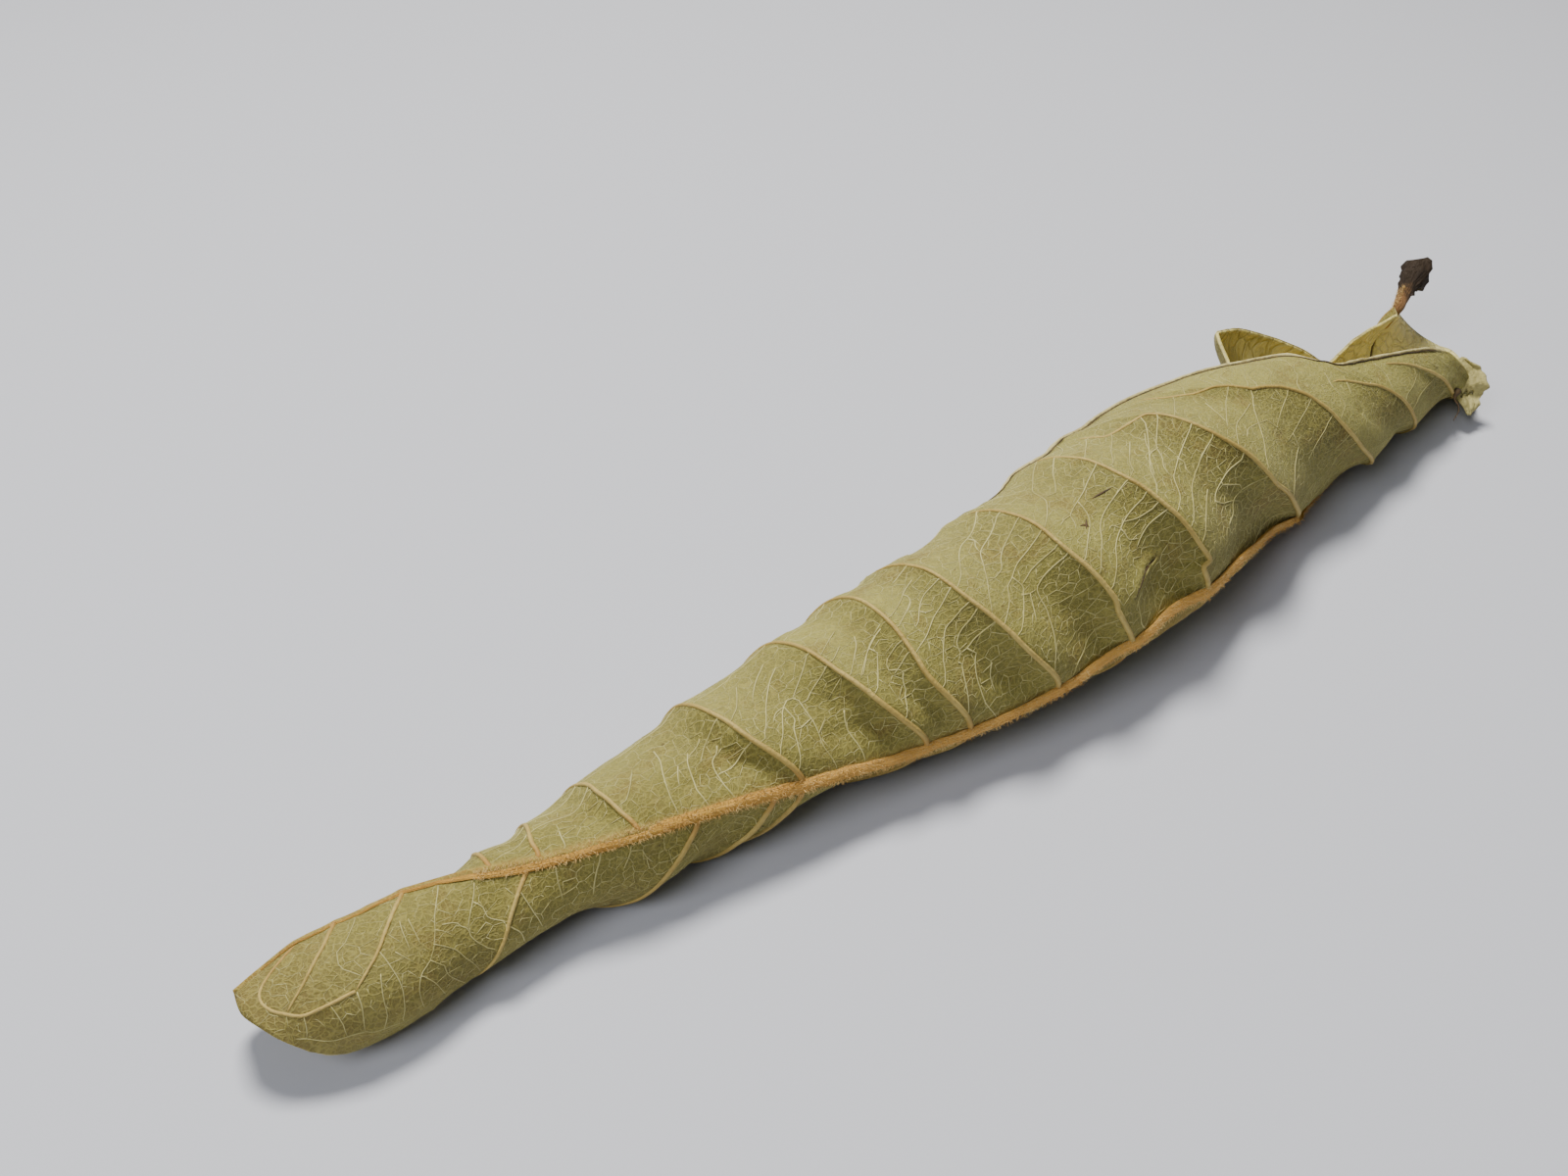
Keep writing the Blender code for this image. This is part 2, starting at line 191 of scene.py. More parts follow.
# cross veins that show on the upper half, as (k, q)
UPPER_CROSS = (
    ((13.69, 0.88), (13.28, 0.804), (13.05, 0.756)),
    ((13.71, 0.818), (13.28, 0.731), (13.09, 0.679)),
    ((13.58, 0.747), (13.35, 0.695), (13.16, 0.645), (13.10, 0.619)),
    ((13.93, 0.781), (13.57, 0.695), (13.38, 0.645), (13.24, 0.596), (13.17, 0.568)),
    ((13.83, 0.973), (13.24, 0.862)),
    ((13.06, 0.908), (12.91, 0.888), (12.67, 0.836), (12.45, 0.776), (12.41, 0.75), (12.36, 0.713),
     (12.24, 0.674), (12.13, 0.644), (11.99, 0.61)),
    ((13.00, 0.84), (12.83, 0.805), (12.64, 0.75), (12.53, 0.721)),
    ((12.98, 0.705), (12.78, 0.678), (12.69, 0.663), (12.57, 0.647), (12.41, 0.625),
     (12.31, 0.606), (12.26, 0.574), (12.20, 0.551)),
    ((12.31, 0.606), (12.23, 0.604), (12.11, 0.587)),
    ((12.53, 0.64), (12.47, 0.587), (12.42, 0.56), (12.21, 0.503), (12.02, 0.447)),
    ((12.94, 0.596), (12.80, 0.581), (12.65, 0.562), (12.52, 0.539), (12.43, 0.516),
     (12.30, 0.468), (12.20, 0.438), (12.09, 0.399), (12.02, 0.376)),
    ((12.91, 0.519), (12.81, 0.51), (12.67, 0.49), (12.58, 0.471), (12.49, 0.451), (12.38, 0.42),
     (12.28, 0.381), (12.16, 0.345), (12.08, 0.322)),
    ((12.58, 0.471), (12.58, 0.453), (12.57, 0.424), (12.67, 0.402)),
    ((12.58, 0.471), (12.53, 0.499), (12.47, 0.488)),
    ((12.90, 0.473), (12.79, 0.471), (12.66, 0.485)),
    ((12.22, 0.214), (12.18, 0.16), (12.15, 0.129), (12.19, 0.089)),
    ((12.03, 0.865), (11.69, 0.781), (11.48, 0.74), (11.32, 0.691), (11.22, 0.652), (11.09, 0.603),
     (10.94, 0.565)),
    ((11.94, 0.766), (11.72, 0.719), (11.57, 0.692), (11.49, 0.672), (11.37, 0.614),
     (11.24, 0.551), (11.09, 0.489), (10.96, 0.432)),
    ((11.60, 0.734), (11.51, 0.696), (11.49, 0.672)),
    ((11.37, 0.614), (11.45, 0.61), (11.52, 0.609)),
    ((11.94, 0.695), (11.76, 0.665), (11.64, 0.641), (11.55, 0.613), (11.46, 0.574),
     (11.33, 0.553)),
    ((11.92, 0.603), (11.77, 0.585), (11.62, 0.567), (11.53, 0.546), (11.47, 0.529),
     (11.36, 0.505), (11.25, 0.457), (11.13, 0.422), (10.98, 0.384)),
    ((11.47, 0.529), (11.48, 0.484), (11.41, 0.449), (11.30, 0.405), (11.19, 0.37),
     (11.08, 0.341)), ((11.90, 0.531), (11.79, 0.528), (11.66, 0.519), (11.56, 0.50)),
    ((11.92, 0.49), (11.79, 0.483), (11.69, 0.472), (11.62, 0.458), (11.57, 0.445), (11.53, 0.405),
     (11.50, 0.354), (11.44, 0.31), (11.36, 0.266), (11.22, 0.211), (11.10, 0.169),
     (11.04, 0.139)), ((11.40, 0.451), (11.49, 0.442), (11.57, 0.445)),
    ((11.45, 0.423), (11.37, 0.374), (11.29, 0.334)), ((10.71, 0.716), (10.48, 0.68)),
    ((10.70, 0.665), (10.49, 0.629), (10.30, 0.581), (10.17, 0.551), (10.06, 0.53)),
    ((10.41, 0.611), (10.44, 0.596), (10.41, 0.575), (10.32, 0.549), (10.20, 0.521),
     (10.06, 0.488)),
    ((10.81, 0.612), (10.64, 0.594), (10.48, 0.557), (10.39, 0.525), (10.29, 0.487),
     (10.21, 0.469)),
    ((10.80, 0.558), (10.65, 0.528), (10.52, 0.501), (10.42, 0.473), (10.29, 0.435),
     (10.07, 0.388)), ((10.41, 0.53), (10.48, 0.522), (10.59, 0.53)),
    ((10.80, 0.492), (10.66, 0.469), (10.56, 0.451), (10.45, 0.403), (10.34, 0.343),
     (10.26, 0.294), (10.16, 0.259)),
    ((10.80, 0.447), (10.69, 0.427), (10.62, 0.405), (10.56, 0.374), (10.54, 0.336),
     (10.46, 0.305)), ((10.85, 0.393), (10.73, 0.374), (10.64, 0.349), (10.54, 0.336)),
    ((10.67, 0.314), (10.54, 0.25), (10.41, 0.181), (10.30, 0.099), (10.33, 0.031)),
    ((10.70, 0.249), (10.57, 0.188), (10.47, 0.127)),
    ((10.48, 0.294), (10.26, 0.19), (10.07, 0.119)),
    ((9.88, 0.509), (9.70, 0.486), (9.54, 0.452), (9.40, 0.416), (9.20, 0.368)),
    ((9.66, 0.437), (9.59, 0.408), (9.42, 0.352), (9.22, 0.307)),
    ((9.98, 0.393), (9.81, 0.357), (9.68, 0.336)),
    ((9.68, 0.383), (9.66, 0.359), (9.77, 0.356), (9.85, 0.34)),
    ((9.69, 0.269), (9.38, 0.225), (9.11, 0.181)), ((9.92, 0.434), (9.74, 0.404)),
    ((8.41, 0.546), (8.34, 0.493), (8.23, 0.424), (8.09, 0.374)),
    ((8.70, 0.544), (8.60, 0.506), (8.51, 0.455), (8.41, 0.386), (8.31, 0.318), (8.14, 0.247)),
    ((8.68, 0.59), (8.53, 0.529), (8.42, 0.465), (8.37, 0.427)),
    ((8.90, 0.514), (8.77, 0.467), (8.67, 0.425), (8.61, 0.395)),
    ((8.57, 0.395), (8.51, 0.367), (8.41, 0.303), (8.29, 0.242), (8.08, 0.173)),
    ((8.51, 0.367), (8.44, 0.352), (8.35, 0.307)),
    ((8.51, 0.354), (8.49, 0.299), (8.41, 0.257), (8.30, 0.193), (8.13, 0.109), (7.97, 0.057)),
    ((8.63, 0.378), (8.61, 0.333), (8.57, 0.275), (8.48, 0.198), (8.39, 0.128), (8.34, 0.022)),
    ((8.57, 0.275), (8.45, 0.248)), ((8.48, 0.198), (8.57, 0.231), (8.64, 0.259)),
    ((8.78, 0.263), (8.70, 0.216), (8.61, 0.148), (8.53, 0.025)),
    ((8.94, 0.442), (8.74, 0.393), (8.68, 0.366)),
    ((9.54, 0.524), (9.47, 0.49), (9.29, 0.441), (9.05, 0.38)),
    ((9.78, 0.497), (9.58, 0.46), (9.40, 0.42), (9.11, 0.354)),
    ((9.40, 0.574), (9.19, 0.533), (8.98, 0.487)), ((9.25, 0.499), (9.04, 0.453)),
    ((6.43, 0.442), (6.35, 0.37), (6.14, 0.263), (5.95, 0.177), (5.80, 0.097), (5.73, 0.024)),
    ((6.70, 0.34), (6.55, 0.285), (6.41, 0.213), (6.33, 0.163), (6.24, 0.106), (6.21, 0.016)),
    ((7.30, 0.313), (7.05, 0.276), (6.81, 0.24), (6.69, 0.193), (6.61, 0.136), (6.56, 0.088),
     (6.55, 0.031)), ((7.79, 0.399), (7.08, 0.347), (6.64, 0.253)),
    ((7.91, 0.247), (7.31, 0.207), (6.87, 0.163)), ((7.18, 0.395), (6.69, 0.325)),
    ((5.83, 0.345), (5.55, 0.266), (5.29, 0.203), (5.15, 0.17)),
    ((6.41, 0.284), (6.19, 0.196), (6.13, 0.166)), ((4.32, 0.16), (4.31, 0.10), (4.31, 0.037)),
    ((14.01, 0.769), (13.80, 0.727), (13.56, 0.669), (13.47, 0.632), (13.33, 0.584),
     (13.29, 0.556)),
    ((13.58, 0.672), (13.45, 0.66), (13.32, 0.628), (13.20, 0.589), (13.10, 0.543),
     (12.98, 0.497)), ((13.77, 0.75), (13.58, 0.704), (13.45, 0.66)),
    ((13.95, 0.681), (13.78, 0.651), (13.56, 0.606), (13.40, 0.567), (13.28, 0.535),
     (13.21, 0.498), (13.14, 0.463), (13.03, 0.43)),
    ((13.93, 0.62), (13.76, 0.589), (13.60, 0.551), (13.45, 0.514), (13.32, 0.476), (13.20, 0.423),
     (13.09, 0.375)), ((13.55, 0.584), (13.48, 0.55), (13.45, 0.514)),
    ((13.88, 0.514), (13.75, 0.495), (13.63, 0.465), (13.50, 0.428), (13.40, 0.388)),
    ((13.91, 0.427), (13.78, 0.412), (13.65, 0.385), (13.57, 0.361), (13.48, 0.309),
     (13.37, 0.283)), ((13.43, 0.393), (13.49, 0.373), (13.55, 0.369), (13.63, 0.351)),
    ((13.61, 0.449), (13.72, 0.426)),
    ((13.46, 0.453), (13.32, 0.402), (13.20, 0.354), (13.11, 0.312)),
    ((12.94, 0.445), (12.81, 0.432), (12.71, 0.409), (12.59, 0.374)),
    ((14.72, 0.726), (14.49, 0.662), (14.33, 0.602), (14.20, 0.547), (14.06, 0.495),
     (13.98, 0.46)), ((14.88, 0.678), (14.67, 0.637), (14.49, 0.592), (14.36, 0.555)),
    ((14.88, 0.62), (14.65, 0.573), (14.48, 0.533), (14.38, 0.513)),
    ((14.42, 0.476), (14.27, 0.419), (14.17, 0.378), (14.03, 0.319)),
    ((14.54, 0.685), (14.36, 0.654), (14.22, 0.632), (14.16, 0.619), (14.01, 0.574)),
    ((14.43, 0.608), (14.33, 0.607), (14.23, 0.602), (14.11, 0.575)),
    ((14.77, 0.78), (14.49, 0.727), (14.21, 0.657), (14.12, 0.63)),
    ((14.54, 0.838), (14.26, 0.783), (14.07, 0.744)),
    ((14.40, 0.75), (14.28, 0.703), (14.19, 0.656)),
    ((14.78, 0.527), (14.56, 0.461), (14.40, 0.402)), ((14.89, 0.465), (14.65, 0.405)),
    ((14.70, 0.732), (15.41, 0.857), (15.51, 0.894), (15.65, 0.943)),
    ((15.08, 0.682), (15.63, 0.785), (15.76, 0.840), (15.94, 0.889), (16.22, 0.91)),
    ((15.76, 0.840), (15.86, 0.914), (15.83, 0.932), (15.73, 0.916)),
    ((14.91, 0.718), (15.52, 0.828), (15.65, 0.905)), ((14.82, 0.734), (15.49, 0.859)),
    ((14.79, 0.791), (15.45, 0.928)), ((14.81, 0.779), (15.45, 0.903)),
    ((14.74, 0.801), (15.42, 0.937)), ((14.65, 0.837), (15.28, 0.938)),
    ((16.08, 0.807), (15.89, 0.731), (15.80, 0.67), (15.04, 0.55)),
    ((16.22, 0.697), (16.20, 0.628), (15.28, 0.489)),
    ((18.89, 0.962), (18.60, 0.906), (18.24, 0.834), (18.01, 0.771)),
)
# cross veins that show on the lower half near the tip
LOWER_CROSS = (
    ((2.42, -0.07), (2.42, -0.165), (2.43, -0.252), (2.45, -0.325), (2.45, -0.40), (2.43, -0.474)),
    ((2.44, -0.389), (2.57, -0.411), (2.68, -0.44), (2.83, -0.511), (3.32, -0.683)),
    ((2.45, -0.314), (2.55, -0.327), (2.64, -0.358)),
    ((2.77, -0.084), (2.77, -0.178), (2.77, -0.249), (2.78, -0.323)),
    ((2.51, -0.29), (2.63, -0.282), (2.70, -0.305), (2.78, -0.323), (2.82, -0.365), (2.96, -0.422),
     (3.17, -0.469)),
    ((1.85, -0.386), (1.96, -0.435), (2.08, -0.505), (2.15, -0.562), (2.19, -0.634),
     (2.18, -0.724), (2.14, -0.792)),
    ((1.58, -0.582), (1.61, -0.645), (1.56, -0.717), (1.48, -0.806)),
    ((1.48, -0.806), (1.22, -0.816), (0.88, -0.829), (0.61, -0.811), (0.47, -0.787),
     (0.27, -0.777)), ((1.48, -0.806), (1.69, -0.827), (1.96, -0.827), (2.15, -0.825)),
    ((0.65, -0.633), (0.60, -0.715), (0.47, -0.784)),
    ((1.10, -0.613), (1.16, -0.678), (1.18, -0.742)), ((0.39, -0.587), (0.34, -0.671)),
    ((0.80, -0.404), (0.86, -0.458), (0.89, -0.50)),
    ((1.31, -0.105), (1.33, -0.229), (1.31, -0.297)),
    ((1.19, -0.348), (1.23, -0.415), (1.33, -0.455)),
    ((2.07, -0.406), (2.17, -0.437), (2.27, -0.469)),
    ((2.09, -0.254), (2.16, -0.333), (2.23, -0.41)),
    ((2.18, -0.251), (2.26, -0.317), (2.33, -0.395)),
    ((1.92, -0.507), (1.95, -0.616), (1.94, -0.73), (1.86, -0.80)),
    ((2.40, -0.505), (2.36, -0.545), (2.35, -0.627), (2.37, -0.698), (2.41, -0.776)),
    ((2.39, -0.56), (2.50, -0.611), (2.67, -0.75)),
    ((2.58, -0.521), (2.63, -0.579), (2.76, -0.65), (3.12, -0.81)),
    ((3.57, -0.345), (3.90, -0.40), (4.16, -0.51)),
    ((3.66, -0.168), (3.91, -0.244), (4.12, -0.33), (4.28, -0.419)),
    ((2.78, -0.184), (2.90, -0.212), (3.03, -0.274), (3.49, -0.318)),
    ((4.58, -0.035), (4.59, -0.124), (4.64, -0.202), (4.75, -0.305)),
    ((4.88, -0.056), (4.90, -0.128), (4.94, -0.192)),
    ((4.15, -0.017), (4.22, -0.127), (4.39, -0.271)),
    ((5.05, -0.094), (5.19, -0.144), (5.42, -0.197)), ((7.88, -0.048), (7.95, -0.101)),
    ((6.03, -0.144), (6.24, -0.212)),
)
# a tear through the blade, and how wide it gapes at each place in mm; hairline cracks
TEAR = ((12.13, 0.215), (12.25, 0.241), (12.42, 0.269), (12.56, 0.288), (12.71, 0.298))
TEAR_GAPE = (0.04, 0.08, 0.13, 0.24, 0.08)
CRACKS = (
    ((12.27, 0.556), (12.32, 0.551), (12.34, 0.53)),
    ((12.66, 0.623), (12.75, 0.619), (12.85, 0.611)),
    ((12.40, 0.567), (12.29, 0.535)),
)
# the midrib: k, half width and height in mm
MIDRIB_SIZES = (
    (0, 0.08, 0.08), (2, 0.17, 0.14), (3, 0.20, 0.16), (4.5, 0.27, 0.21), (6.5, 0.33, 0.28),
    (8, 0.41, 0.34), (9.5, 0.47, 0.38), (12, 0.52, 0.42), (15, 0.55, 0.46), (17.5, 0.50, 0.46),
    (20.5, 0.36, 0.26),
)
# the stalk: steps in mm from the foot of the midrib, and radius
STALK = (
    (0.1, 0.0, 0.1, 0.46), (1.6, 0.65, 0.35, 0.60), (3.1, 1.25, 0.65, 0.75),
    (4.6, 1.80, 0.90, 1.00), (5.5, 2.15, 1.05, 1.32), (6.4, 2.45, 1.20, 1.40),
    (7.0, 2.65, 1.30, 1.08), (7.15, 2.70, 1.32, 0.02),
)
# how far the midrib's crest lies from the blade's middle line, as (k, q)
MIDRIB_SHIFT = (
    (0, 0.0), (1, -0.05), (3, -0.045), (4.5, -0.02), (6, 0.0), (9, 0.0), (11, 0.02), (12, 0.055),
    (13, 0.085), (13.5, 0.09), (14.5, 0.0), (18.0, 0.0), (19.5, 0.028), (20.5, 0.055),
)


def smooth(value, low, high):
    """0 below low, 1 above high, and an even slope between."""
    t = np.clip((np.asarray(value, float) - low) / (high - low), 0.0, 1.0)
    return t * t * (3.0 - 2.0 * t)


def curve_through(stations, values, at):
    """Smooth line through the values that never overshoots them."""
    x = np.asarray(stations, float)
    y = np.asarray(values, float)
    at = np.clip(np.asarray(at, float), x[0], x[-1])
    shape = (-1,) + (1,) * (y.ndim - 1)
    gap = np.diff(x)
    step = gap.reshape(shape)
    rise = np.diff(y, axis=0) / step
    a = 2 * step[1:] + step[:-1]
    b = step[1:] + 2 * step[:-1]
    same = rise[:-1] * rise[1:] > 0
    before = np.where(same, rise[:-1], 1.0)
    after = np.where(same, rise[1:], 1.0)
    slope = np.zeros_like(y)
    slope[1:-1] = np.where(same, (a + b) / (a / before + b / after), 0.0)
    slope[0] = rise[0]
    slope[-1] = rise[-1]
    k = np.clip(np.searchsorted(x, at, side="right") - 1, 0, len(x) - 2)
    t = (at - x[k]) / gap[k]
    column = np.arange(at.size)
    y0, y1, m0, m1 = (v[i] if y.ndim == 1 else v[i, column]
                      for v, i in ((y, k), (y, k + 1), (slope, k), (slope, k + 1)))
    return ((1 + 2 * t) * (1 - t) ** 2 * y0 + t * (1 - t) ** 2 * gap[k] * m0
            + t * t * (3 - 2 * t) * y1 + t * t * (t - 1) * gap[k] * m1)


def smooth_line(stations, spots, at):
    """Smooth line in space through the spots."""
    return np.stack([curve_through(stations, spots[:, c], at) for c in range(3)], -1)


# the blade's lines from the lower margin over the midrib to the upper margin
LINES = np.array([[b2, b1, b0, m, a0, a1, a2] for m, (a0, a1, a2), (b0, b1, b2) in BLADE], float)


def blade_place(k, q):
    """Distance along the roll and turn round it, for many places at once."""
    out = []
    for part in (0, 1):
        rows = [curve_through(range(len(LINES)), LINES[:, j, part], k) for j in range(7)]
        out.append(curve_through(np.linspace(-1, 1, 7), np.array(rows), q))
    return out


def along_table(table, x, column=1):
    """A column of a table at places given by its first column."""
    return curve_through([row[0] for row in table], [row[column] for row in table], x)


def roll_radius(x):
    """Outer radius of the roll in mm."""
    return along_table(ROLL, x)


def roll_place(x, turn, lift):
    """Places in space, in millimetres, of points of the roll's outer face."""
    radius = roll_radius(x)
    side = along_table(ROLL, x, 2)
    level = math.radians(FACING)
    angle = np.radians(turn)
    front = (radius + lift) * np.cos(angle)
    up = (radius + lift) * np.sin(angle)
    y = side - front * math.cos(level) + up * math.sin(level)
    z = radius - SAG + front * math.sin(level) + up * math.cos(level)
    return np.stack([x, y, z], -1)


def layer_lift(k, q, x):
    """How far a place stands off the plain roll, so that its turns don't meet."""
    over = smooth(q, 0.35, 0.8) * smooth(x, 6, 14) * (1 - smooth(x, 48, 60))
    under = smooth(-q, 0.35, 0.8) * smooth(x, 6, 16) * (1 - smooth(x, 74, 84))
    flare = smooth(-q, 0.62, 1.0) * smooth(k, 14.78, 15.02) * (1 - smooth(k, 15.2, 17.8))
    cup = smooth(-q, 0.3, 1.0) * (1 - smooth(k, 1.6, 3.2))
    wall = smooth(k, 18.0, 20.0) * smooth(-np.abs(q), -0.5, 0.0)
    flap = smooth(k, 19.6, 21.0) * smooth(q, 0.3, 0.5) * (1 - smooth(q, 0.6, 0.85))
    turns = OVERLAP_LIFT * over - UNDER_SINK * under
    return turns + BACK_FLARE * flare + TIP_CUP * cup + END_FLAP * flap + FOOT_RISE * wall


def vein_lines(veins, sign):
    """For each side vein, its k at even steps of q, with the blade's two ends outside them."""
    shares = np.linspace(0, 1, 101)
    rows = [np.full(101, 0.0)]
    for path in veins:
        spots = sorted(((q * sign, k) for k, q in path if q * sign >= 0))
        rows.append(np.interp(shares, [s[0] for s in spots], [s[1] for s in spots]))
    rows.append(np.full(101, float(LAST)))
    rows = np.array(rows)
    return np.maximum.accumulate(rows, axis=0)


# the parts of the side veins that bound the hollows, without the loops at their far ends
UPPER_LINES = vein_lines([[s for s in vein if s[1] < 0.81 and abs(s[0] - vein[0][0]) < 0.7]
                          for vein in UPPER_VEINS], 1)
LOWER_LINES = vein_lines([[s for s in vein if s[1] > -0.7] for vein in LOWER_VEINS], -1)


def between_veins(k, q):
    """Share of the way from one side vein to the next towards the stem, and the gap in mm."""
    share = np.zeros_like(k)
    gap = np.ones_like(k)
    for lines, mask in ((UPPER_LINES, q >= 0), (LOWER_LINES, q < 0)):
        column = np.clip(np.abs(q[mask]) * 100, 0, 99.999)
        i = column.astype(int)
        f = column - i
        at = lines[:, i] * (1 - f) + lines[:, i + 1] * f
        kk = k[mask]
        n = np.clip((at <= kk).sum(axis=0) - 1, 0, len(lines) - 2)
        cols = np.arange(kk.size)
        low = at[n, cols]
        high = at[n + 1, cols]
        share[mask] = np.clip((kk - low) / np.maximum(high - low, 1e-6), 0, 1)
        x0, t0 = blade_place(low, q[mask])
        x1, t1 = blade_place(high, q[mask])
        gap[mask] = np.hypot(x1 - x0, np.radians(t1 - t0) * roll_radius(x0))
    return share, gap


def hollow_shade(k, q):
    """Painted shade, 0 to 1, in the hollow on the tip side of a side vein: darker the further a
    place lies into the hollow.
    """
    share, gap = between_veins(k, q)
    inside = smooth(np.abs(q), 0.02, 0.2) * (1 - smooth(np.abs(q), 0.72, 0.95))
    shade = 0.8 * smooth(share, 0.25, 0.85) + 0.2 * smooth(share, 0.90, 0.99)
    return shade * inside * smooth(gap, 1.5, 5.0)


def search_tree(spots):
    """A tree that finds the nearest of many places, each with two or three coordinates."""
    tree = KDTree(len(spots))
    for n, spot in enumerate(spots):
        tree.insert((*spot, 0.0)[:3], n)
    tree.balance()
    return tree


def near_vein(x, v):
    """Distance in mm on the unrolled leaf to the nearest cross vein, up to 1.5 mm."""
    tree = leaf_net()["tree"]
    return np.array([min(tree.find((a, b, 0.0))[2], 1.5) for a, b in zip(x, v)])


def tear_reach(flat):
    """Distance in mm of places on the unrolled leaf to the tear, and its half width there."""
    path = flat_place(*np.array(TEAR).T)
    at = np.linspace(0, len(TEAR) - 1, 41)
    line = np.stack([np.interp(at, range(len(TEAR)), path[:, c]) for c in (0, 1)], -1)
    gape = np.interp(at, range(len(TEAR)), TEAR_GAPE)
    apart = np.full(len(flat), 9.0)
    near = np.nonzero(np.linalg.norm(flat - line[20], axis=1) < 6.0)[0]
    gaps = np.linalg.norm(flat[near, None] - line[None], axis=2)
    apart[near] = gaps.min(axis=1)
    width = np.zeros(len(flat))
    width[near] = gape[gaps.argmin(axis=1)]
    return apart, width


def relief(k, q, x, turn):
    """Height in mm of the dry blade's own puckers: a hollow between each two side veins."""
    shape = bpy.context.scene.leaf_shape
    share, gap = between_veins(k, q)
    hollow = np.sin(math.pi * share ** 1.6)
    depth = shape.hollow_depth / MM * np.clip(gap / 7.0, 0.25, 1.15)
    depth = depth * smooth(np.abs(q), 0.0, 0.18) * (1 - 0.62 * smooth(np.abs(q), 0.40, 0.8))
    depth = depth * np.where(q < 0, 0.5, 1.0) * (0.5 + 0.5 * smooth(k, 2.0, 5.0))
    depth = depth * (1 - 0.6 * smooth(k, 13.9, 15.0))
    depth = depth * (1 - smooth(np.abs(q), 0.8, 1.0) * smooth(k, 14.5, 15.5))
    level = (0.75 - 0.35 * smooth(k, 4.0, 9.0)) * (1 - smooth(k, 9.0, 11.0))
    depth = depth * (1 - level * smooth(q, 0.3, 0.6))
    deeper = smooth(k, 8.0, 10.0) * (1 - smooth(q, 0.3, 0.5)) * smooth(q, 0.0, 0.2)
    depth = depth * (1 + 0.35 * deeper)
    v = np.radians(turn) * roll_radius(x)
    puckers = np.array([noise.noise(Vector((a * 0.16, b * 0.16, 3.1))) for a, b in zip(x, v)])
    crumple = np.array([noise.noise(Vector((a * 0.55, b * 0.55, 7.7))) for a, b in zip(x, v)])
    quilt = shape.quilt_depth / MM * smooth(near_vein(x, v), 0.0, 0.7)
    apart, gape = tear_reach(np.stack([x, v], -1))
    lip = 0.28 * np.exp(-((apart - gape) / 0.55) ** 2) * smooth(gape, 0.0, 0.15)
    return lip - depth * hollow - quilt + shape.pucker_height / MM * (puckers + 0.35 * crumple)


def settle(z, floor, soft=0.12):
    """Presses flat what would pass below the floor."""
    pressed = floor + soft * np.log1p(np.exp(np.clip((z - floor) / soft, -50, 50)))
    return np.where(z < 2.0, pressed, z)


def skin(k, q, rise=0.0, floor=FLOOR_GAP):
    """Places in space, in mm, of points raised by `rise` over the blade's outer face."""
    k = np.asarray(k, float)
    q = np.asarray(q, float)
    x, turn = blade_place(k, q)
    spots = roll_place(x, turn, layer_lift(k, q, x) + relief(k, q, x, turn) + rise)
    spots[:, 2] = settle(spots[:, 2], floor - np.asarray(rise))
    return spots + np.array(SHIFT)


def flat_place(k, q):
    """The place on the unrolled leaf, in mm: along the roll and round it."""
    x, turn = blade_place(k, q)
    return np.stack([x, np.radians(turn) * roll_radius(x)], -1)


def unflatten(spots):
    """The (k, q) of places in mm on the unrolled leaf, and how far each lies off the blade."""
    columns = even_columns(300)
    k, q = [side.ravel() for side in np.meshgrid(columns, np.linspace(-0.97, 0.97, 121))]
    known = flat_place(k, q)
    tree = search_tree(known)
    found = [tree.find((a, b, 0.0))[1:] for a, b in spots]
    near = np.array([n for n, apart in found])
    k = k[near]
    q = q[near]
    for _ in range(2):
        here = flat_place(k, q)
        by_k = (flat_place(k + 0.01, q) - here) / 0.01
        by_q = (flat_place(k, q + 0.002) - here) / 0.002
        want = spots - here
        area = by_k[:, 0] * by_q[:, 1] - by_k[:, 1] * by_q[:, 0]
        area = np.where(np.abs(area) < 1e-3, 1e-3, area)
        dk = (want[:, 0] * by_q[:, 1] - want[:, 1] * by_q[:, 0]) / area
        dq = (by_k[:, 0] * want[:, 1] - by_k[:, 1] * want[:, 0]) / area
        k = np.clip(k + np.clip(dk, -0.15, 0.15), 0.02, LAST - 0.02)
        q = np.clip(q + np.clip(dq, -0.02, 0.02), -0.98, 0.98)
    return k, q, np.array([apart for n, apart in found])


def cell_edges(draw, cell):
    """Corners of the small cells that the finest veins bound, and the pairs that edges join."""
    seeds = []
    for i in range(int(128 / cell)):
        for j in range(int(84 / cell)):
            x = -3 + (i + 0.5 * (j % 2) + draw.uniform(-0.42, 0.42)) * cell
            v = -42 + (j + draw.uniform(-0.42, 0.42)) * cell
            seeds.append((x, v))
    seeds = np.array(seeds)
    seeds = seeds[unflatten(seeds)[2] < 0.5]
    faces = geometry.delaunay_2d_cdt([Vector(seed) for seed in seeds], [], [], 0, 1e-6)[2]
    faces = np.array([face for face in faces if len(face) == 3])
    a, b, c = seeds[faces[:, 0]], seeds[faces[:, 1]], seeds[faces[:, 2]]
    twice = 2 * ((b - a)[:, 0] * (c - a)[:, 1] - (b - a)[:, 1] * (c - a)[:, 0])
    bb = ((b - a) ** 2).sum(axis=1)
    cc = ((c - a) ** 2).sum(axis=1)
    centre = a + np.stack([(c - a)[:, 1] * bb - (b - a)[:, 1] * cc,
                           (b - a)[:, 0] * cc - (c - a)[:, 0] * bb], -1) / twice[:, None]
    sides = {}
    for n, face in enumerate(faces):
        for m in range(3):
            sides.setdefault(frozenset((face[m], face[m - 1])), []).append(n)
    pairs = np.array([pair for pair in sides.values() if len(pair) == 2])
    long = np.linalg.norm(centre[pairs[:, 0]] - centre[pairs[:, 1]], axis=1)
    return centre, pairs[(long > 0.08) & (long < 1.8 * cell)]


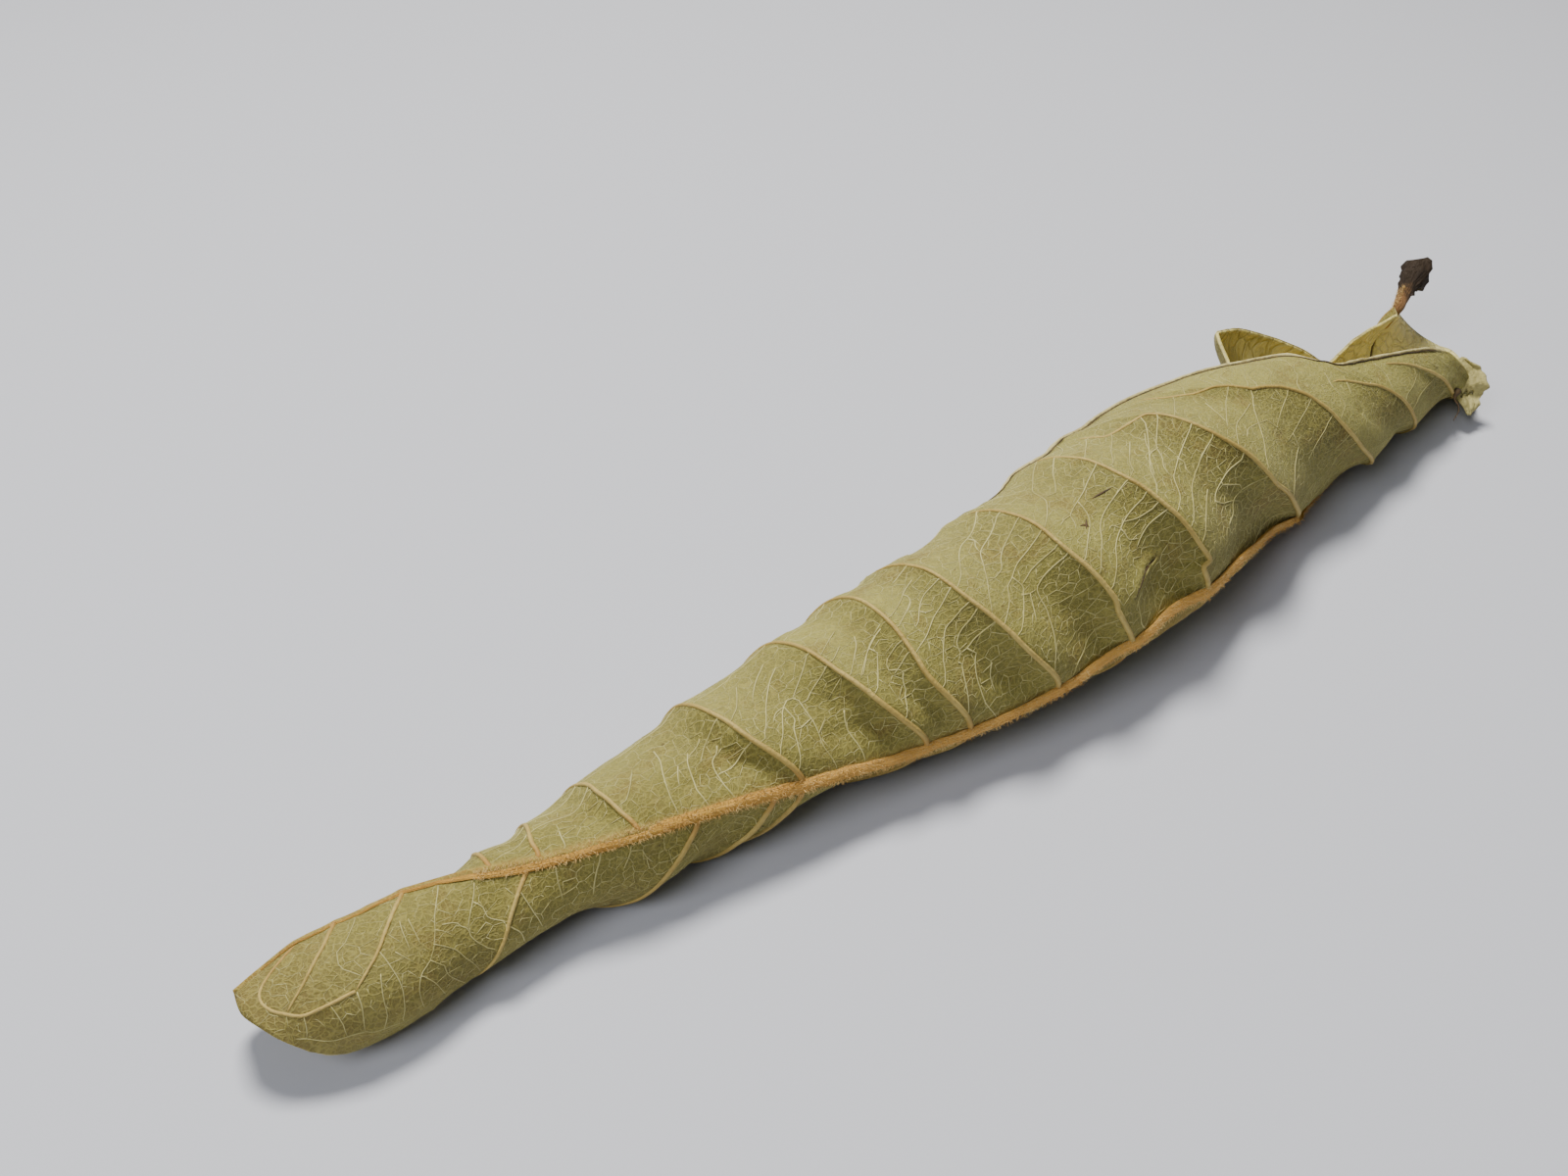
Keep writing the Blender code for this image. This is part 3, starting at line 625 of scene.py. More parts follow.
def grown_cross_veins(draw, traced):
    """Cross veins between each two side veins, where no traced one runs."""
    grown = []
    for lines, sign in ((UPPER_LINES, 1), (LOWER_LINES, -1)):
        for n in range(1, len(lines) - 2):
            reach = 0.86 if sign > 0 else 0.78
            q = 0.07 + 0.05 * draw.random()
            while q < reach + 0.12:
                drop = 0.15 + 0.05 * draw.random()
                share = np.linspace(1, 0, 7)
                at = q - drop * (1 - share)
                keep = at > 0.015
                if keep.sum() > 2:
                    share = share[keep]
                    at = at[keep]
                    column = np.clip(at * 100, 0, 100)
                    low = np.interp(column, range(101), lines[n])
                    high = np.interp(column, range(101), lines[n + 1])
                    sway = 0.05 * np.sin(share * math.pi) * (draw.random() - 0.5)
                    path = np.stack([low + (high - low) * (share + sway), sign * at], -1)
                    path[1:-1] += np.array([[draw.gauss(0, 0.025), draw.gauss(0, 0.006)]
                                            for _ in path[1:-1]])
                    flat = flat_place(path[:, 0], path[:, 1])
                    apart = np.array([traced.find((a, b, 0.0))[2] for a, b in flat])
                    if (apart > 1.2).all():
                        grown.append(path)
                q += (2.3 + 1.2 * draw.random()) / 26.0
    for sign in (1, -1):
        k = 0.6
        while k < LAST - 0.6:
            path = np.array([(k, sign * 0.875), (k - 0.03, sign * 0.92),
                             (k + draw.gauss(0, 0.04), sign * 0.965)])
            flat = flat_place(path[:, 0], path[:, 1])
            if min(traced.find((a, b, 0.0))[2] for a, b in flat) > 0.7:
                grown.append(path)
            step = flat_place(np.array([k, k + 0.05]), np.full(2, sign * 0.9))
            want = 0.05 * (1.5 + 1.2 * draw.random())
            k += np.clip(want / max(np.linalg.norm(step[1] - step[0]), 1e-3), 0.02, 0.5)
    return grown


def sample_tree(paths):
    """The samples of many paths: their (k, q), place, direction, path number, and a search tree."""
    every = np.concatenate(paths)
    counts = [len(path) for path in paths]
    flat = flat_place(every[:, 0], every[:, 1])
    ahead = np.diff(flat, axis=0, append=flat[-1:])
    last = np.cumsum(counts) - 1
    ahead[last] = ahead[last - 1]
    angle = np.arctan2(ahead[:, 1], ahead[:, 0])
    rows = np.column_stack([every, flat, angle, np.repeat(range(len(paths)), counts)])
    return rows, search_tree(flat)


def even_path(path):
    """A path's places at even steps."""
    return np.stack(path_points(path, STEP)[:2], -1)


def joined(path, number, rows, tree):
    """Runs a cross vein's ends on to the veins that they lie close to."""
    for end, inner in ((0, 2), (-1, -3)):
        at, back = flat_place(path[[end, inner], 0], path[[end, inner], 1])
        for _, hit, apart in tree.find_n((at[0], at[1], 0.0), 14):
            if rows[hit, 5] != number:
                way = np.dot(rows[hit, 2:4] - at, at - back) / max(np.linalg.norm(at - back), 1e-6)
                if 0.1 < apart < 1.4 and way > 0.45 * apart:
                    more = even_path(np.stack([path[end], rows[hit, :2]]))[1:]
                    path = np.concatenate([path, more] if end else [more[::-1], path])
                break
    return path


NET = {}    # the cross veins, once they are worked out


def leaf_net():
    """All cross veins as even (k, q) paths and a search tree of them, worked out once."""
    if NET:
        return NET
    draw = random.Random(41)
    shown = [even_path(path) for path in UPPER_CROSS + LOWER_CROSS]
    side = [even_path(path) for path in UPPER_VEINS + LOWER_VEINS + (TIP_LOOP,)]
    rows, tree = sample_tree(shown + side)
    shown = [joined(path, number, rows, tree) for number, path in enumerate(shown)]
    cross = [even_path(path) for path in grown_cross_veins(draw, sample_tree(shown)[1])]
    NET.update(shown=shown, cross=cross, tree=sample_tree(shown + cross + side)[1])
    return NET


def finish_piece(piece):
    """Every piece rides on the leaf's one body and stands for its node, which is hidden."""
    for face in piece.data.polygons:
        face.use_smooth = True
    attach(piece, BODY)
    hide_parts(NODE)
    return piece


def linked_object(name, data):
    """A new object in the scene."""
    piece = bpy.data.objects.new(name, data)
    bpy.context.scene.collection.objects.link(piece)
    return piece


def closest(spot, a, b):
    """The place on a line from a to b that lies closest to a spot."""
    share = np.clip(np.dot(spot - a, b - a) / np.dot(b - a, b - a), 0, 1)
    return a + share * (b - a)


def even_columns(count):
    """Values of k that step evenly in millimetres along the blade."""
    fine = np.linspace(0, LAST, 2101)
    total = np.zeros(2101)
    for q in (-0.6, -0.3, 0.0, 0.3, 0.6, 0.9):
        x, turn = blade_place(fine, np.full(2101, q))
        step = np.hypot(np.diff(x), np.radians(np.diff(turn)) * roll_radius(x[1:]))
        total[1:] += np.cumsum(step)
    return np.interp(np.linspace(0, total[-1], count), total, fine)


def build_blade():
    """The thin dry blade, as one open grid moved onto the roll and given its thickness."""
    shape = bpy.context.scene.leaf_shape
    columns = even_columns(shape.columns)
    rows = np.linspace(-1, 1, shape.rows)
    mesh = bmesh.new()
    bmesh.ops.create_grid(mesh, x_segments=len(columns) - 1, y_segments=len(rows) - 1, size=1.0)
    mesh.verts.ensure_lookup_table()
    grid = np.array([vert.co[:2] for vert in mesh.verts])
    i = np.rint((grid[:, 0] + 1) / 2 * (len(columns) - 1)).astype(int)
    j = np.rint((grid[:, 1] + 1) / 2 * (len(rows) - 1)).astype(int)
    k = columns[i]
    q = rows[j]
    ragged = np.array([noise.noise(Vector((a * 9.0, b, 1.3))) for a, b in zip(k, np.sign(q))])
    near_margin = smooth(np.abs(q), 0.9, 1.0) * (1 - smooth(k, 15.0, 16.0))
    q = q * (1 - MARGIN_WEAR * np.abs(ragged) * near_margin)
    flat = flat_place(k, q)
    apart, gape = tear_reach(flat)
    edge = np.nonzero((np.abs(apart - gape) < TEAR_LIP) & (gape > 0.05))[0]
    path = flat_place(*np.array(TEAR).T)
    for n in edge:
        foot = min((closest(flat[n], a, b) for a, b in zip(path, path[1:])),
                   key=lambda spot: np.linalg.norm(spot - flat[n]))
        flat[n] = foot + (flat[n] - foot) * gape[n] / max(apart[n], 1e-3)
    k[edge], q[edge] = unflatten(flat[edge])[:2]
    groove = np.exp(-(q / 0.02) ** 2)
    spots = skin(k, q, 0.18 * groove) * MM
    torn = (apart < gape + TEAR_LIP) & (gape > 0.05)
    layer = mesh.loops.layers.uv.new("flat")
    outward = mesh.verts.layers.float.new("outward")
    # the hollow attribute carries painted shade for the hollows beside the side veins
    hollow = mesh.verts.layers.float.new("hollow")
    for vert, spot, share, shade in zip(mesh.verts, spots, q, hollow_shade(k, q)):
        vert.co = spot
        vert[outward] = share
        vert[hollow] = shade
    for face in mesh.faces:
        for loop in face.loops:
            spot = flat[loop.vert.index]
            loop[layer].uv = (spot[0] / FLAT_SPAN, (spot[1] + FLAT_SPAN / 2) / FLAT_SPAN)
    gone = [face for face in mesh.faces if all(torn[vert.index] for vert in face.verts)]
    bmesh.ops.delete(mesh, geom=gone, context="FACES")
    mesh.faces.ensure_lookup_table()
    # the outer face looks away from the roll's axis
    middle = mesh.faces[len(mesh.faces) // 2]
    bmesh.ops.recalc_face_normals(mesh, faces=mesh.faces)
    mesh.normal_update()
    at = middle.calc_center_median()
    axis_y = float(along_table(ROLL, [at.x / MM - SHIFT[0]], 2)[0])
    out = Vector((0, at.y - (axis_y + SHIFT[1]) * MM, at.z - 5 * MM))
    if middle.normal.dot(out) < 0:
        bmesh.ops.reverse_faces(mesh, faces=mesh.faces)
    data = bpy.data.meshes.new("leaf_blade")
    mesh.to_mesh(data)
    mesh.free()
    piece = linked_object("leaf_blade", data)
    for material in (underside_material(), upper_face_material()):
        data.materials.append(material)
    shell = piece.modifiers.new("thickness", "SOLIDIFY")
    shell.thickness = shape.thickness
    shell.offset = -1.0
    shell.use_even_offset = False
    shell.use_rim = True
    shell.material_offset = 1
    shell.material_offset_rim = 1
    return finish_piece(piece)


def path_points(path, step):
    """Even steps in mm along a smooth line through (k, q) places."""
    spots = np.array(path, float)
    flat = flat_place(spots[:, 0], spots[:, 1])
    along = np.concatenate([[0], np.cumsum(np.maximum(np.hypot(*np.diff(flat, axis=0).T), 1e-4))])
    count = max(3, int(along[-1] / step) + 1)
    at = np.linspace(0, along[-1], count)
    return curve_through(along, spots[:, 0], at), curve_through(along, spots[:, 1], at), at


def tube_piece(name, runs, sides, material):
    """Round veins, half sunk in the blade: one curve with a spline for each, made a mesh."""
    data = bpy.data.curves.new(name, "CURVE")
    data.dimensions = "3D"
    data.bevel_depth = 1.0 * MM
    data.bevel_resolution = sides
    data.use_fill_caps = True
    for spots, radii in runs:
        line = data.splines.new("POLY")
        line.points.add(len(spots) - 1)
        flat = np.ones((len(spots), 4))
        flat[:, :3] = spots * MM
        line.points.foreach_set("co", flat.ravel())
        line.points.foreach_set("radius", np.asarray(radii, float))
    curve = bpy.data.objects.new(name + "_line", data)
    bpy.context.scene.collection.objects.link(curve)
    ready = curve.evaluated_get(bpy.context.evaluated_depsgraph_get())
    shape = bpy.data.meshes.new_from_object(ready)
    bpy.data.objects.remove(curve)
    weld = bmesh.new()
    weld.from_mesh(shape)
    bmesh.ops.remove_doubles(weld, verts=weld.verts, dist=1e-7)
    bmesh.ops.recalc_face_normals(weld, faces=weld.faces)
    weld.to_mesh(shape)
    weld.free()
    shape.name = name
    shape.materials.clear()
    shape.materials.append(material)
    return finish_piece(linked_object(name, shape))


def vein_run(path, start, end, sunk=0.25):
    """Centres and radii in mm of one vein that thins from start to end."""
    k, q, at = path_points(path, STEP)
    share = at / at[-1]
    radius = end + (start - end) * (1 - share) ** 0.8
    return skin(k, q, -sunk * radius), end_taper(radius)


def end_taper(radius, count=2):
    """Lets a line run out to a point."""
    radius = np.array(radius, float)
    for n in range(count):
        radius[-1 - n] *= (n + 0.3) / count
    return radius


def build_side_veins():
    """The raised side veins, each leaving the midrib and looping inside the margin."""
    settings = bpy.context.scene.leaf_veins
    start = settings.side_width / MM / 2
    end = settings.side_end_width / MM / 2
    runs = []
    for veins in (UPPER_VEINS, LOWER_VEINS):
        for path in veins:
            slim = float(np.interp(path[0][0], (1, 3, 5, 8), (0.78, 0.74, 0.80, 1.0)))
            runs.append(vein_run(path, start * slim, end * slim))
    runs.append(vein_run(TIP_LOOP, 0.12, 0.08))
    piece = tube_piece("side_veins", runs, 1, vein_material())
    k = even_columns(500)
    tree = search_tree(skin(k, np.zeros(len(k))) * MM)
    layer = piece.data.attributes.new("outward", "FLOAT", "POINT")
    apart = [tree.find(vert.co)[2] / MM / OUTWARD_SPAN for vert in piece.data.vertices]
    layer.data.foreach_set("value", apart)
    return piece


def build_cross_veins():
    """The finer raised veins that run from one side vein to the next."""
    wide = bpy.context.scene.leaf_veins.cross_width / MM / 2
    net = leaf_net()
    tracks = []
    for kind, first, last in (("shown", 1.0, 0.62), ("cross", 0.82, 0.5)):
        for path in net[kind]:
            size = wide * float(np.interp(path[:, 0].mean(), (2.5, 4.5, 13.8, 14.6),
                                          (0.62, 1.0, 1.0, 0.55)))
            tracks.append((path, first * size, last * size))
    return laid_tubes("cross_veins", tracks, 0.05)


def build_fine_net():
    """The net of finest veins round small cells, in one piece for each half of the blade."""
    settings = bpy.context.scene.leaf_veins
    wide = settings.net_width / MM / 2
    draw = random.Random(87)
    centre, pairs = cell_edges(draw, settings.net_cell / MM)
    k, q, apart = unflatten(centre)
    hole, gape = tear_reach(centre)
    apart[hole < gape + 0.35] = 9.0
    place = np.stack([k, q], -1)
    for name, sign in (("fine_net_upper", 1), ("fine_net_lower", -1)):
        tracks = []
        for a, b in pairs:
            tucked = q[a] < -0.75 and k[a] < 13
            whole = q[a] * sign > 0 and max(apart[a], apart[b]) < 0.3
            if whole and draw.random() < 0.9 and not tucked:
                size = wide * draw.uniform(0.6, 1.15)
                base = float(smooth(k[a], 13.6, 14.6))
                if draw.random() < 0.5 * base:
                    continue
                size *= 1 - 0.35 * base - 0.25 * float(1 - smooth(k[a], 2.5, 4.5))
                tracks.append((np.stack([place[a], place[b]]), size, size))
        laid_tubes(name, tracks, 0.25)


def laid_tubes(name, tracks, sunk):
    """Many thin veins laid on the skin in one go: (places, first radius, last radius) of each."""
    every = np.concatenate([track for track, first, last in tracks])
    radii = [np.linspace(first, last, len(track)) for track, first, last in tracks]
    spots = skin(every[:, 0], every[:, 1], -sunk * np.concatenate(radii))
    runs = []
    start = 0
    for radius in radii:
        part = spots[start:start + len(radius)]
        runs.append((part, end_taper(radius, 1) if len(radius) > 2 else radius))
        start += len(radius)
    return tube_piece(name, runs, 0, net_material())


def in_view(anchor, steps):
    """Places given as mm to the right, up and away, as the camera sees them, from an anchor."""
    return anchor + np.asarray(steps, float) @ np.array(VIEW)


def build_torn_bits():
    """The crumpled flap at the open end, the dark thread below it and the hairline cracks."""
    anchor = in_view(skin([LAST - 0.05], [0.80])[0], (-0.9, 0.1, -0.35))
    mesh = bmesh.new()
    bmesh.ops.create_grid(mesh, x_segments=FLAP_COLUMNS, y_segments=FLAP_ROWS, size=1.0)
    for vert in mesh.verts:
        a = (vert.co.x + 1) / 2
        b = (vert.co.y + 1) / 2
        wide = float(np.interp(b, (0, 0.12, 0.35, 0.62, 0.85, 1),
                               (0.8, 1.5, 2.1, 2.5, 1.7, 0.5)))
        ragged = 1 + 0.22 * noise.noise(Vector((b * 9.0, 2.0, 0.0))) * a
        left = float(np.interp(b, (0, 0.3, 1), (0.5, -0.5, -0.6)))
        across = left + (wide * ragged - left) * a
        fold = (0.45 * noise.noise(Vector((a * 2.2, b * 4.5, 1.0)))
                + 0.16 * noise.noise(Vector((a * 6, b * 11, 5.0))))
        place = in_view(anchor, (across, -3.4 + 5.2 * b + 0.5 * fold, fold + 0.3 * a))
        vert.co = Vector(place) * MM
    slot = []
    for face in mesh.faces:
        row, column = divmod(face.index, FLAP_COLUMNS)
        middle = 0.36 + 0.03 * math.sin(column)
        if abs(row / FLAP_ROWS - middle) < 0.05 and 3 < column < 17:
            slot.append(face)
    bmesh.ops.delete(mesh, geom=slot, context="FACES")
    layer = mesh.loops.layers.uv.new("flat")
    for face in mesh.faces:
        for loop in face.loops:
            loop[layer].uv = (loop.vert.co.x / MM / FLAT_SPAN, loop.vert.co.z / MM / FLAT_SPAN)
    data = bpy.data.meshes.new("torn_flap")
    mesh.to_mesh(data)
    mesh.free()
    data.materials.append(flap_material())
    piece = linked_object("torn_flap", data)
    shell = piece.modifiers.new("thickness", "SOLIDIFY")
    shell.thickness = 0.2 * MM
    shell.offset = 0.0
    finish_piece(piece)
    thread = in_view(anchor, [(-0.75, -1.2, -0.9), (-1.15, -2.1, -1.0), (-0.8, -2.7, -1.0),
                              (-0.8, -3.3, -1.0), (-1.25, -4.1, -1.0)])
    along = np.linspace(0, 1, 24)
    spots = smooth_line(np.linspace(0, 1, 5), thread, along)
    runs = [(spots, 0.12 * (1 - 0.6 * along) + 0.22 * np.exp(-((along - 0.06) / 0.09) ** 2))]
    # the cracks and the tear are dark lines, painted shade in their depth
    for path in CRACKS + (TEAR,):
        k, q = path_points(path, 0.12)[:2]
        size = 0.10 * np.sin(np.linspace(0.35, math.pi - 0.25, len(k)))
        runs.append((skin(k, q, -0.06 if path is TEAR else -0.02), size))
    return tube_piece("thread_and_cracks", runs, 1, dark_material())


def unit(rows):
    """Directions brought to a length of one."""
    return rows / np.linalg.norm(rows, axis=1)[:, None]


def build_hairs():
    """Short down on the midrib, most of it lying along the ridge."""
    draw = random.Random(11)
    spots, outward, half, top = midrib_line()[:4]
    ahead = unit(np.gradient(spots, axis=0))
    up = unit(outward)
    across = np.cross(ahead, up)
    runs = []
    for _ in range(bpy.context.scene.leaf_veins.hairs):
        n = draw.randrange(60, len(spots) - 40)
        angle = draw.uniform(0.1, math.pi - 0.1)
        side = across[n] * half[n] * 1.2 * math.cos(angle)
        foot = spots[n] + side + up[n] * top[n] * math.sin(angle) ** 1.8 * 0.92
        lean = (ahead[n] * draw.gauss(0, 0.8)
                + across[n] * (math.cos(angle) * 1.2 + draw.gauss(0, 0.5)) + up[n] * 0.75)
        tip = foot + lean / np.linalg.norm(lean) * draw.uniform(0.18, 0.42)
        bend = (foot + tip) / 2 + up[n] * 0.05
        if min(tip[2], foot[2]) > 0.1:
            runs.append((np.stack([foot, bend, tip]), np.array([0.016, 0.013, 0.004])))
    return tube_piece("midrib_down", runs, 0, hair_material())


def sweep(name, spots, outward, half_width, top, bottom, sides, material, along, shape):
    """A bar along the spots: a grid rolled up round them, with its seam welded."""
    count = len(spots)
    mesh = bmesh.new()
    bmesh.ops.create_grid(mesh, x_segments=count - 1, y_segments=sides, size=1.0)
    ahead = unit(np.gradient(spots, axis=0))
    across = unit(np.cross(ahead, outward))
    upward = np.cross(across, ahead)
    layer = mesh.loops.layers.uv.new("flat")
    for face in mesh.faces:
        for loop in face.loops:
            i = int(round((loop.vert.co.x + 1) / 2 * (count - 1)))
            loop[layer].uv = (along[i] / FLAT_SPAN, (loop.vert.co.y + 1) * 3.0 / FLAT_SPAN)
    for vert in mesh.verts:
        i = int(round((vert.co.x + 1) / 2 * (count - 1)))
        angle = math.pi * (vert.co.y + 1)
        tall = top[i] if math.sin(angle) > 0 else bottom[i]
        swell, push = shape(along[i], angle)
        flush = (1 - float(smooth(along[i], -22.0, -10.0))) if math.sin(angle) > 0 else 0.0
        wide = half_width[i] * (1 + 0.3 * flush) * math.cos(angle) * swell
        high = (tall * abs(math.sin(angle)) ** (1 + 0.8 * flush)
                * math.copysign(swell, math.sin(angle)))
        spot = spots[i] + across[i] * wide + ahead[i] * push + upward[i] * high
        spot[2] = max(spot[2], LOWEST)
        vert.co = spot * MM
    bmesh.ops.remove_doubles(mesh, verts=mesh.verts, dist=1e-7)
    bmesh.ops.recalc_face_normals(mesh, faces=mesh.faces)
    data = bpy.data.meshes.new(name)
    mesh.to_mesh(data)
    mesh.free()
    data.materials.append(material)
    return finish_piece(linked_object(name, data))


def midrib_line():
    """Places, outward directions and section sizes of the midrib and the stalk."""
    k = even_columns(600)
    k = k[(k > 0.25) & (k < 20.5)]
    q = along_table(MIDRIB_SHIFT, k)
    spots = skin(k, q)
    outward = skin(k, q, 0.5, floor=-9.0) - skin(k, q, 0.0, floor=-9.0)
    half = along_table(MIDRIB_SIZES, k)
    top = along_table(MIDRIB_SIZES, k, 2)
    bottom = np.full(len(k), 0.12)
    ends = np.full(2, float(LAST))
    middle = np.array([0.0, 0.035])
    x, turn = blade_place(ends, middle)
    feet = roll_place(x, turn, layer_lift(ends, middle, x) - 0.21) + np.array(SHIFT)
    stalk = np.array(STALK)
    back = smooth(stalk[:, 1], 0.0, 2.2)[:, None]
    knots = np.concatenate([spots[-1:], feet[0] * back + feet[1] * (1 - back) + stalk[:, :3]])
    wide = np.concatenate([half[-1:], stalk[:, 3]])
    along = np.concatenate([[0], np.cumsum(np.linalg.norm(np.diff(knots, axis=0), axis=1))])
    at = np.arange(0.12, along[-1], 0.12)
    extra = smooth_line(along, knots, at)
    wider = curve_through(along, wide, at)
    spots = np.concatenate([spots, extra])
    outward = np.concatenate([outward, np.repeat(outward[-1:], len(extra), axis=0)])
    half = np.concatenate([half, wider])
    rising = curve_through([0, 1.2], [top[-1], 0.56], at)
    top = np.concatenate([top, rising * (at < 1.2) + wider * (at >= 1.2)])
    bottom = np.concatenate([bottom, np.minimum(wider, 0.12 + 0.6 * at)])
    length = np.concatenate([[0], np.cumsum(np.linalg.norm(np.diff(spots, axis=0), axis=1))])
    return spots, outward, half, top, bottom, length - length[-len(extra)]


def stalk_shape(along, angle):
    """How the midrib's section swells and how far it is pushed along: a jagged broken end."""
    c = math.cos(angle)
    s = math.sin(angle)
    rough = noise.noise(Vector((along * 0.9, 2.2 * c, 2.2 * s)))
    fibre = noise.noise(Vector((along * 0.25, 5.0 * c, 5.0 * s)))
    end = float(smooth(along, 4.6, 7.4))
    swell = 1 + 0.10 * fibre + 0.10 * rough + end * (0.30 * rough + 0.22 * fibre)
    jag = 0.9 * noise.noise(Vector((2.0 * c, 2.0 * s, 4.4)))
    push = end * (0.75 * math.cos(2 * angle + 0.6) + jag - 0.35)
    return swell, push


def build_midrib():
    """The midrib's rounded ridge, which grows into the stalk past the foot of the blade."""
    spots, outward, half, top, bottom, along = midrib_line()
    return sweep("midrib_and_stalk", spots, outward, half, top, bottom, MIDRIB_SIDES,
                 midrib_material(), along, stalk_shape)


def build_margin():
    """The pale cord that edges the blade, and a dark tube under it at the upper margin, a painted
    shadow line.
    """
    runs = []
    shade = []
    for sign, low, high in ((1, 0.05, LAST - 0.1), (-1, 0.05, LAST - 0.6)):
        k = even_columns(420)
        k = k[(k > low) & (k < high)]
        ragged = np.array([noise.noise(Vector((a * 9.0, float(sign), 1.3))) for a in k])
        ragged = ragged * (1 - smooth(k, 15.0, 16.0))
        q = sign * (1 - MARGIN_WEAR * np.abs(ragged))
        open_edge = smooth(k, 12.4, 13.4) * (sign > 0)
        spots = skin(k, q, -0.06 + 0.16 * open_edge * (1 - smooth(k, 16.2, 16.8)))
        radius = 0.11 + 0.04 * np.array([noise.noise(Vector((a * 6.0, 4.0, 0.0))) for a in k])
        if sign > 0:
            pinched = smooth(k, 16.8, 17.2) * (1 - smooth(k, 18.0, 18.6))
            radius *= 1 + 0.35 * open_edge - 0.45 * pinched
            # painted shadow: a thin dark tube just below the upper margin cord
            below = skin(k, q - 0.008, 0.10) + np.outer(radius * 1.1, (-0.30, -0.45, -0.35))
            part = (k > 12.6) & (k < 20.3)
            shade.append((below[part], 0.055 * np.ones(part.sum())))
        else:
            radius *= 0.7 - 0.3 * smooth(k, 13.5, 14.5)
        radius[:3] *= 0.5
        radius[-3:] *= 0.5
        runs.append((spots, radius))
    tube_piece("margin_shade", shade, 1, dark_material())
    return tube_piece("margin_cord", runs, 1, margin_material())


def material_nodes(name, rough):
    """A new material, and its tree and shader."""
    material = bpy.data.materials.new(name)
    material.use_nodes = True
    tree = material.node_tree
    shader = tree.nodes["Principled BSDF"]
    shader.inputs["Roughness"].default_value = rough
    return material, tree, shader


def add_node(tree, kind, settings=None, inputs=None):
    """Adds a node with its settings; an input given as a socket is linked."""
    node = tree.nodes.new(kind)
    for name, value in (settings or {}).items():
        setattr(node, name, value)
    for name, value in (inputs or {}).items():
        if isinstance(value, bpy.types.NodeSocket):
            tree.links.new(value, node.inputs[name])
        else:
            node.inputs[name].default_value = value
    return node


def colour(hex_value):
    """Linear colour of an sRGB hex value."""
    parts = [int(hex_value[i:i + 2], 16) / 255 for i in (1, 3, 5)]
    return (*[p / 12.92 if p <= 0.04045 else ((p + 0.055) / 1.055) ** 2.4 for p in parts], 1.0)


def flat_mm(tree):
    """The piece's own map in millimetres."""
    flat = add_node(tree, "ShaderNodeUVMap", {"uv_map": "flat"})
    return add_node(tree, "ShaderNodeVectorMath", {"operation": "SCALE"},
                    {0: flat.outputs[0], "Scale": FLAT_SPAN}).outputs[0]


def object_mm(tree):
    """The object's own coordinates in millimetres."""
    place = add_node(tree, "ShaderNodeTexCoord")
    return add_node(tree, "ShaderNodeVectorMath", {"operation": "SCALE"},
                    {0: place.outputs["Object"], "Scale": 1000.0}).outputs[0]


def grain(tree, place, size, detail=3.0, rough=0.55, low=0.3, high=0.7):
    """Noise with features of a size in mm, spread between low and high."""
    pattern = add_node(tree, "ShaderNodeTexNoise", {},
                       {"Vector": place, "Scale": 1.0 / size, "Detail": detail, "Roughness": rough})
    return spread(tree, pattern.outputs["Fac"], low, high)


def spread(tree, value, low, high, flip=False):
    """Stretches a value's range low to high over 0 to 1."""
    ends = (1.0, 0.0) if flip else (0.0, 1.0)
    return add_node(tree, "ShaderNodeMapRange", {"interpolation_type": "SMOOTHSTEP"},
                    {"Value": value, "From Min": low, "From Max": high, "To Min": ends[0],
                     "To Max": ends[1]}).outputs["Result"]


def maths(tree, kind, a, b):
    """One sum on two values or sockets."""
    return add_node(tree, "ShaderNodeMath", {"operation": kind}, {0: a, 1: b}).outputs[0]


def tint(tree, share, first, second):
    """Mixes two colours, each a hex value or a socket."""
    ends = {6 + n: colour(c) if isinstance(c, str) else c for n, c in enumerate((first, second))}
    return add_node(tree, "ShaderNodeMix", {"data_type": "RGBA"}, {0: share, **ends}).outputs[2]


def stain(tree, base, share, amount, hex_value):
    """Lays a colour over a base by a share from 0 to 1, times an amount."""
    return tint(tree, maths(tree, "MULTIPLY", share, amount), base, hex_value)


def attribute(tree, name):
    """A value stored on the piece's points."""
    return add_node(tree, "ShaderNodeAttribute", {"attribute_name": name}).outputs["Fac"]


def first_axis(tree, place):
    """The first coordinate of a place."""
    return add_node(tree, "ShaderNodeSeparateXYZ", {}, {0: place}).outputs[0]


def net_lines(tree, place, cell, width):
    """Thin lines round cells of a size in mm, as the finest veins lie."""
    cells = add_node(tree, "ShaderNodeTexVoronoi", {"feature": "DISTANCE_TO_EDGE"},
                     {"Vector": place, "Scale": 1.0 / cell})
    return spread(tree, cells.outputs["Distance"], 0.0, width / cell, True)


def add_bump(tree, shader, height, depth_mm):
    """Fine relief of a depth in mm."""
    bump = add_node(tree, "ShaderNodeBump", {},
                    {"Height": height, "Distance": depth_mm * MM, "Strength": 1.0})
    tree.links.new(bump.outputs["Normal"], shader.inputs["Normal"])


def warped(tree, place, size, amount):
    """A place pushed about by noise, so that a pattern on it wavers."""
    sway = add_node(tree, "ShaderNodeTexNoise", {},
                    {"Vector": place, "Scale": 1.0 / size, "Detail": 1.0})
    even = add_node(tree, "ShaderNodeVectorMath", {"operation": "SUBTRACT"},
                    {0: sway.outputs["Color"], 1: (0.5, 0.5, 0.5)}).outputs[0]
    moved = add_node(tree, "ShaderNodeVectorMath", {"operation": "SCALE"},
                     {0: even, "Scale": amount}).outputs[0]
    return add_node(tree, "ShaderNodeVectorMath", {"operation": "ADD"},
                    {0: place, 1: moved}).outputs[0]


def thin_blade(shader):
    """Lets some light through the thin blade, as a dry leaf does."""
    shader.inputs["Subsurface Weight"].default_value = 0.35
    shader.inputs["Subsurface Radius"].default_value = (1.0, 0.85, 0.35)
    shader.inputs["Subsurface Scale"].default_value = 0.5 * MM


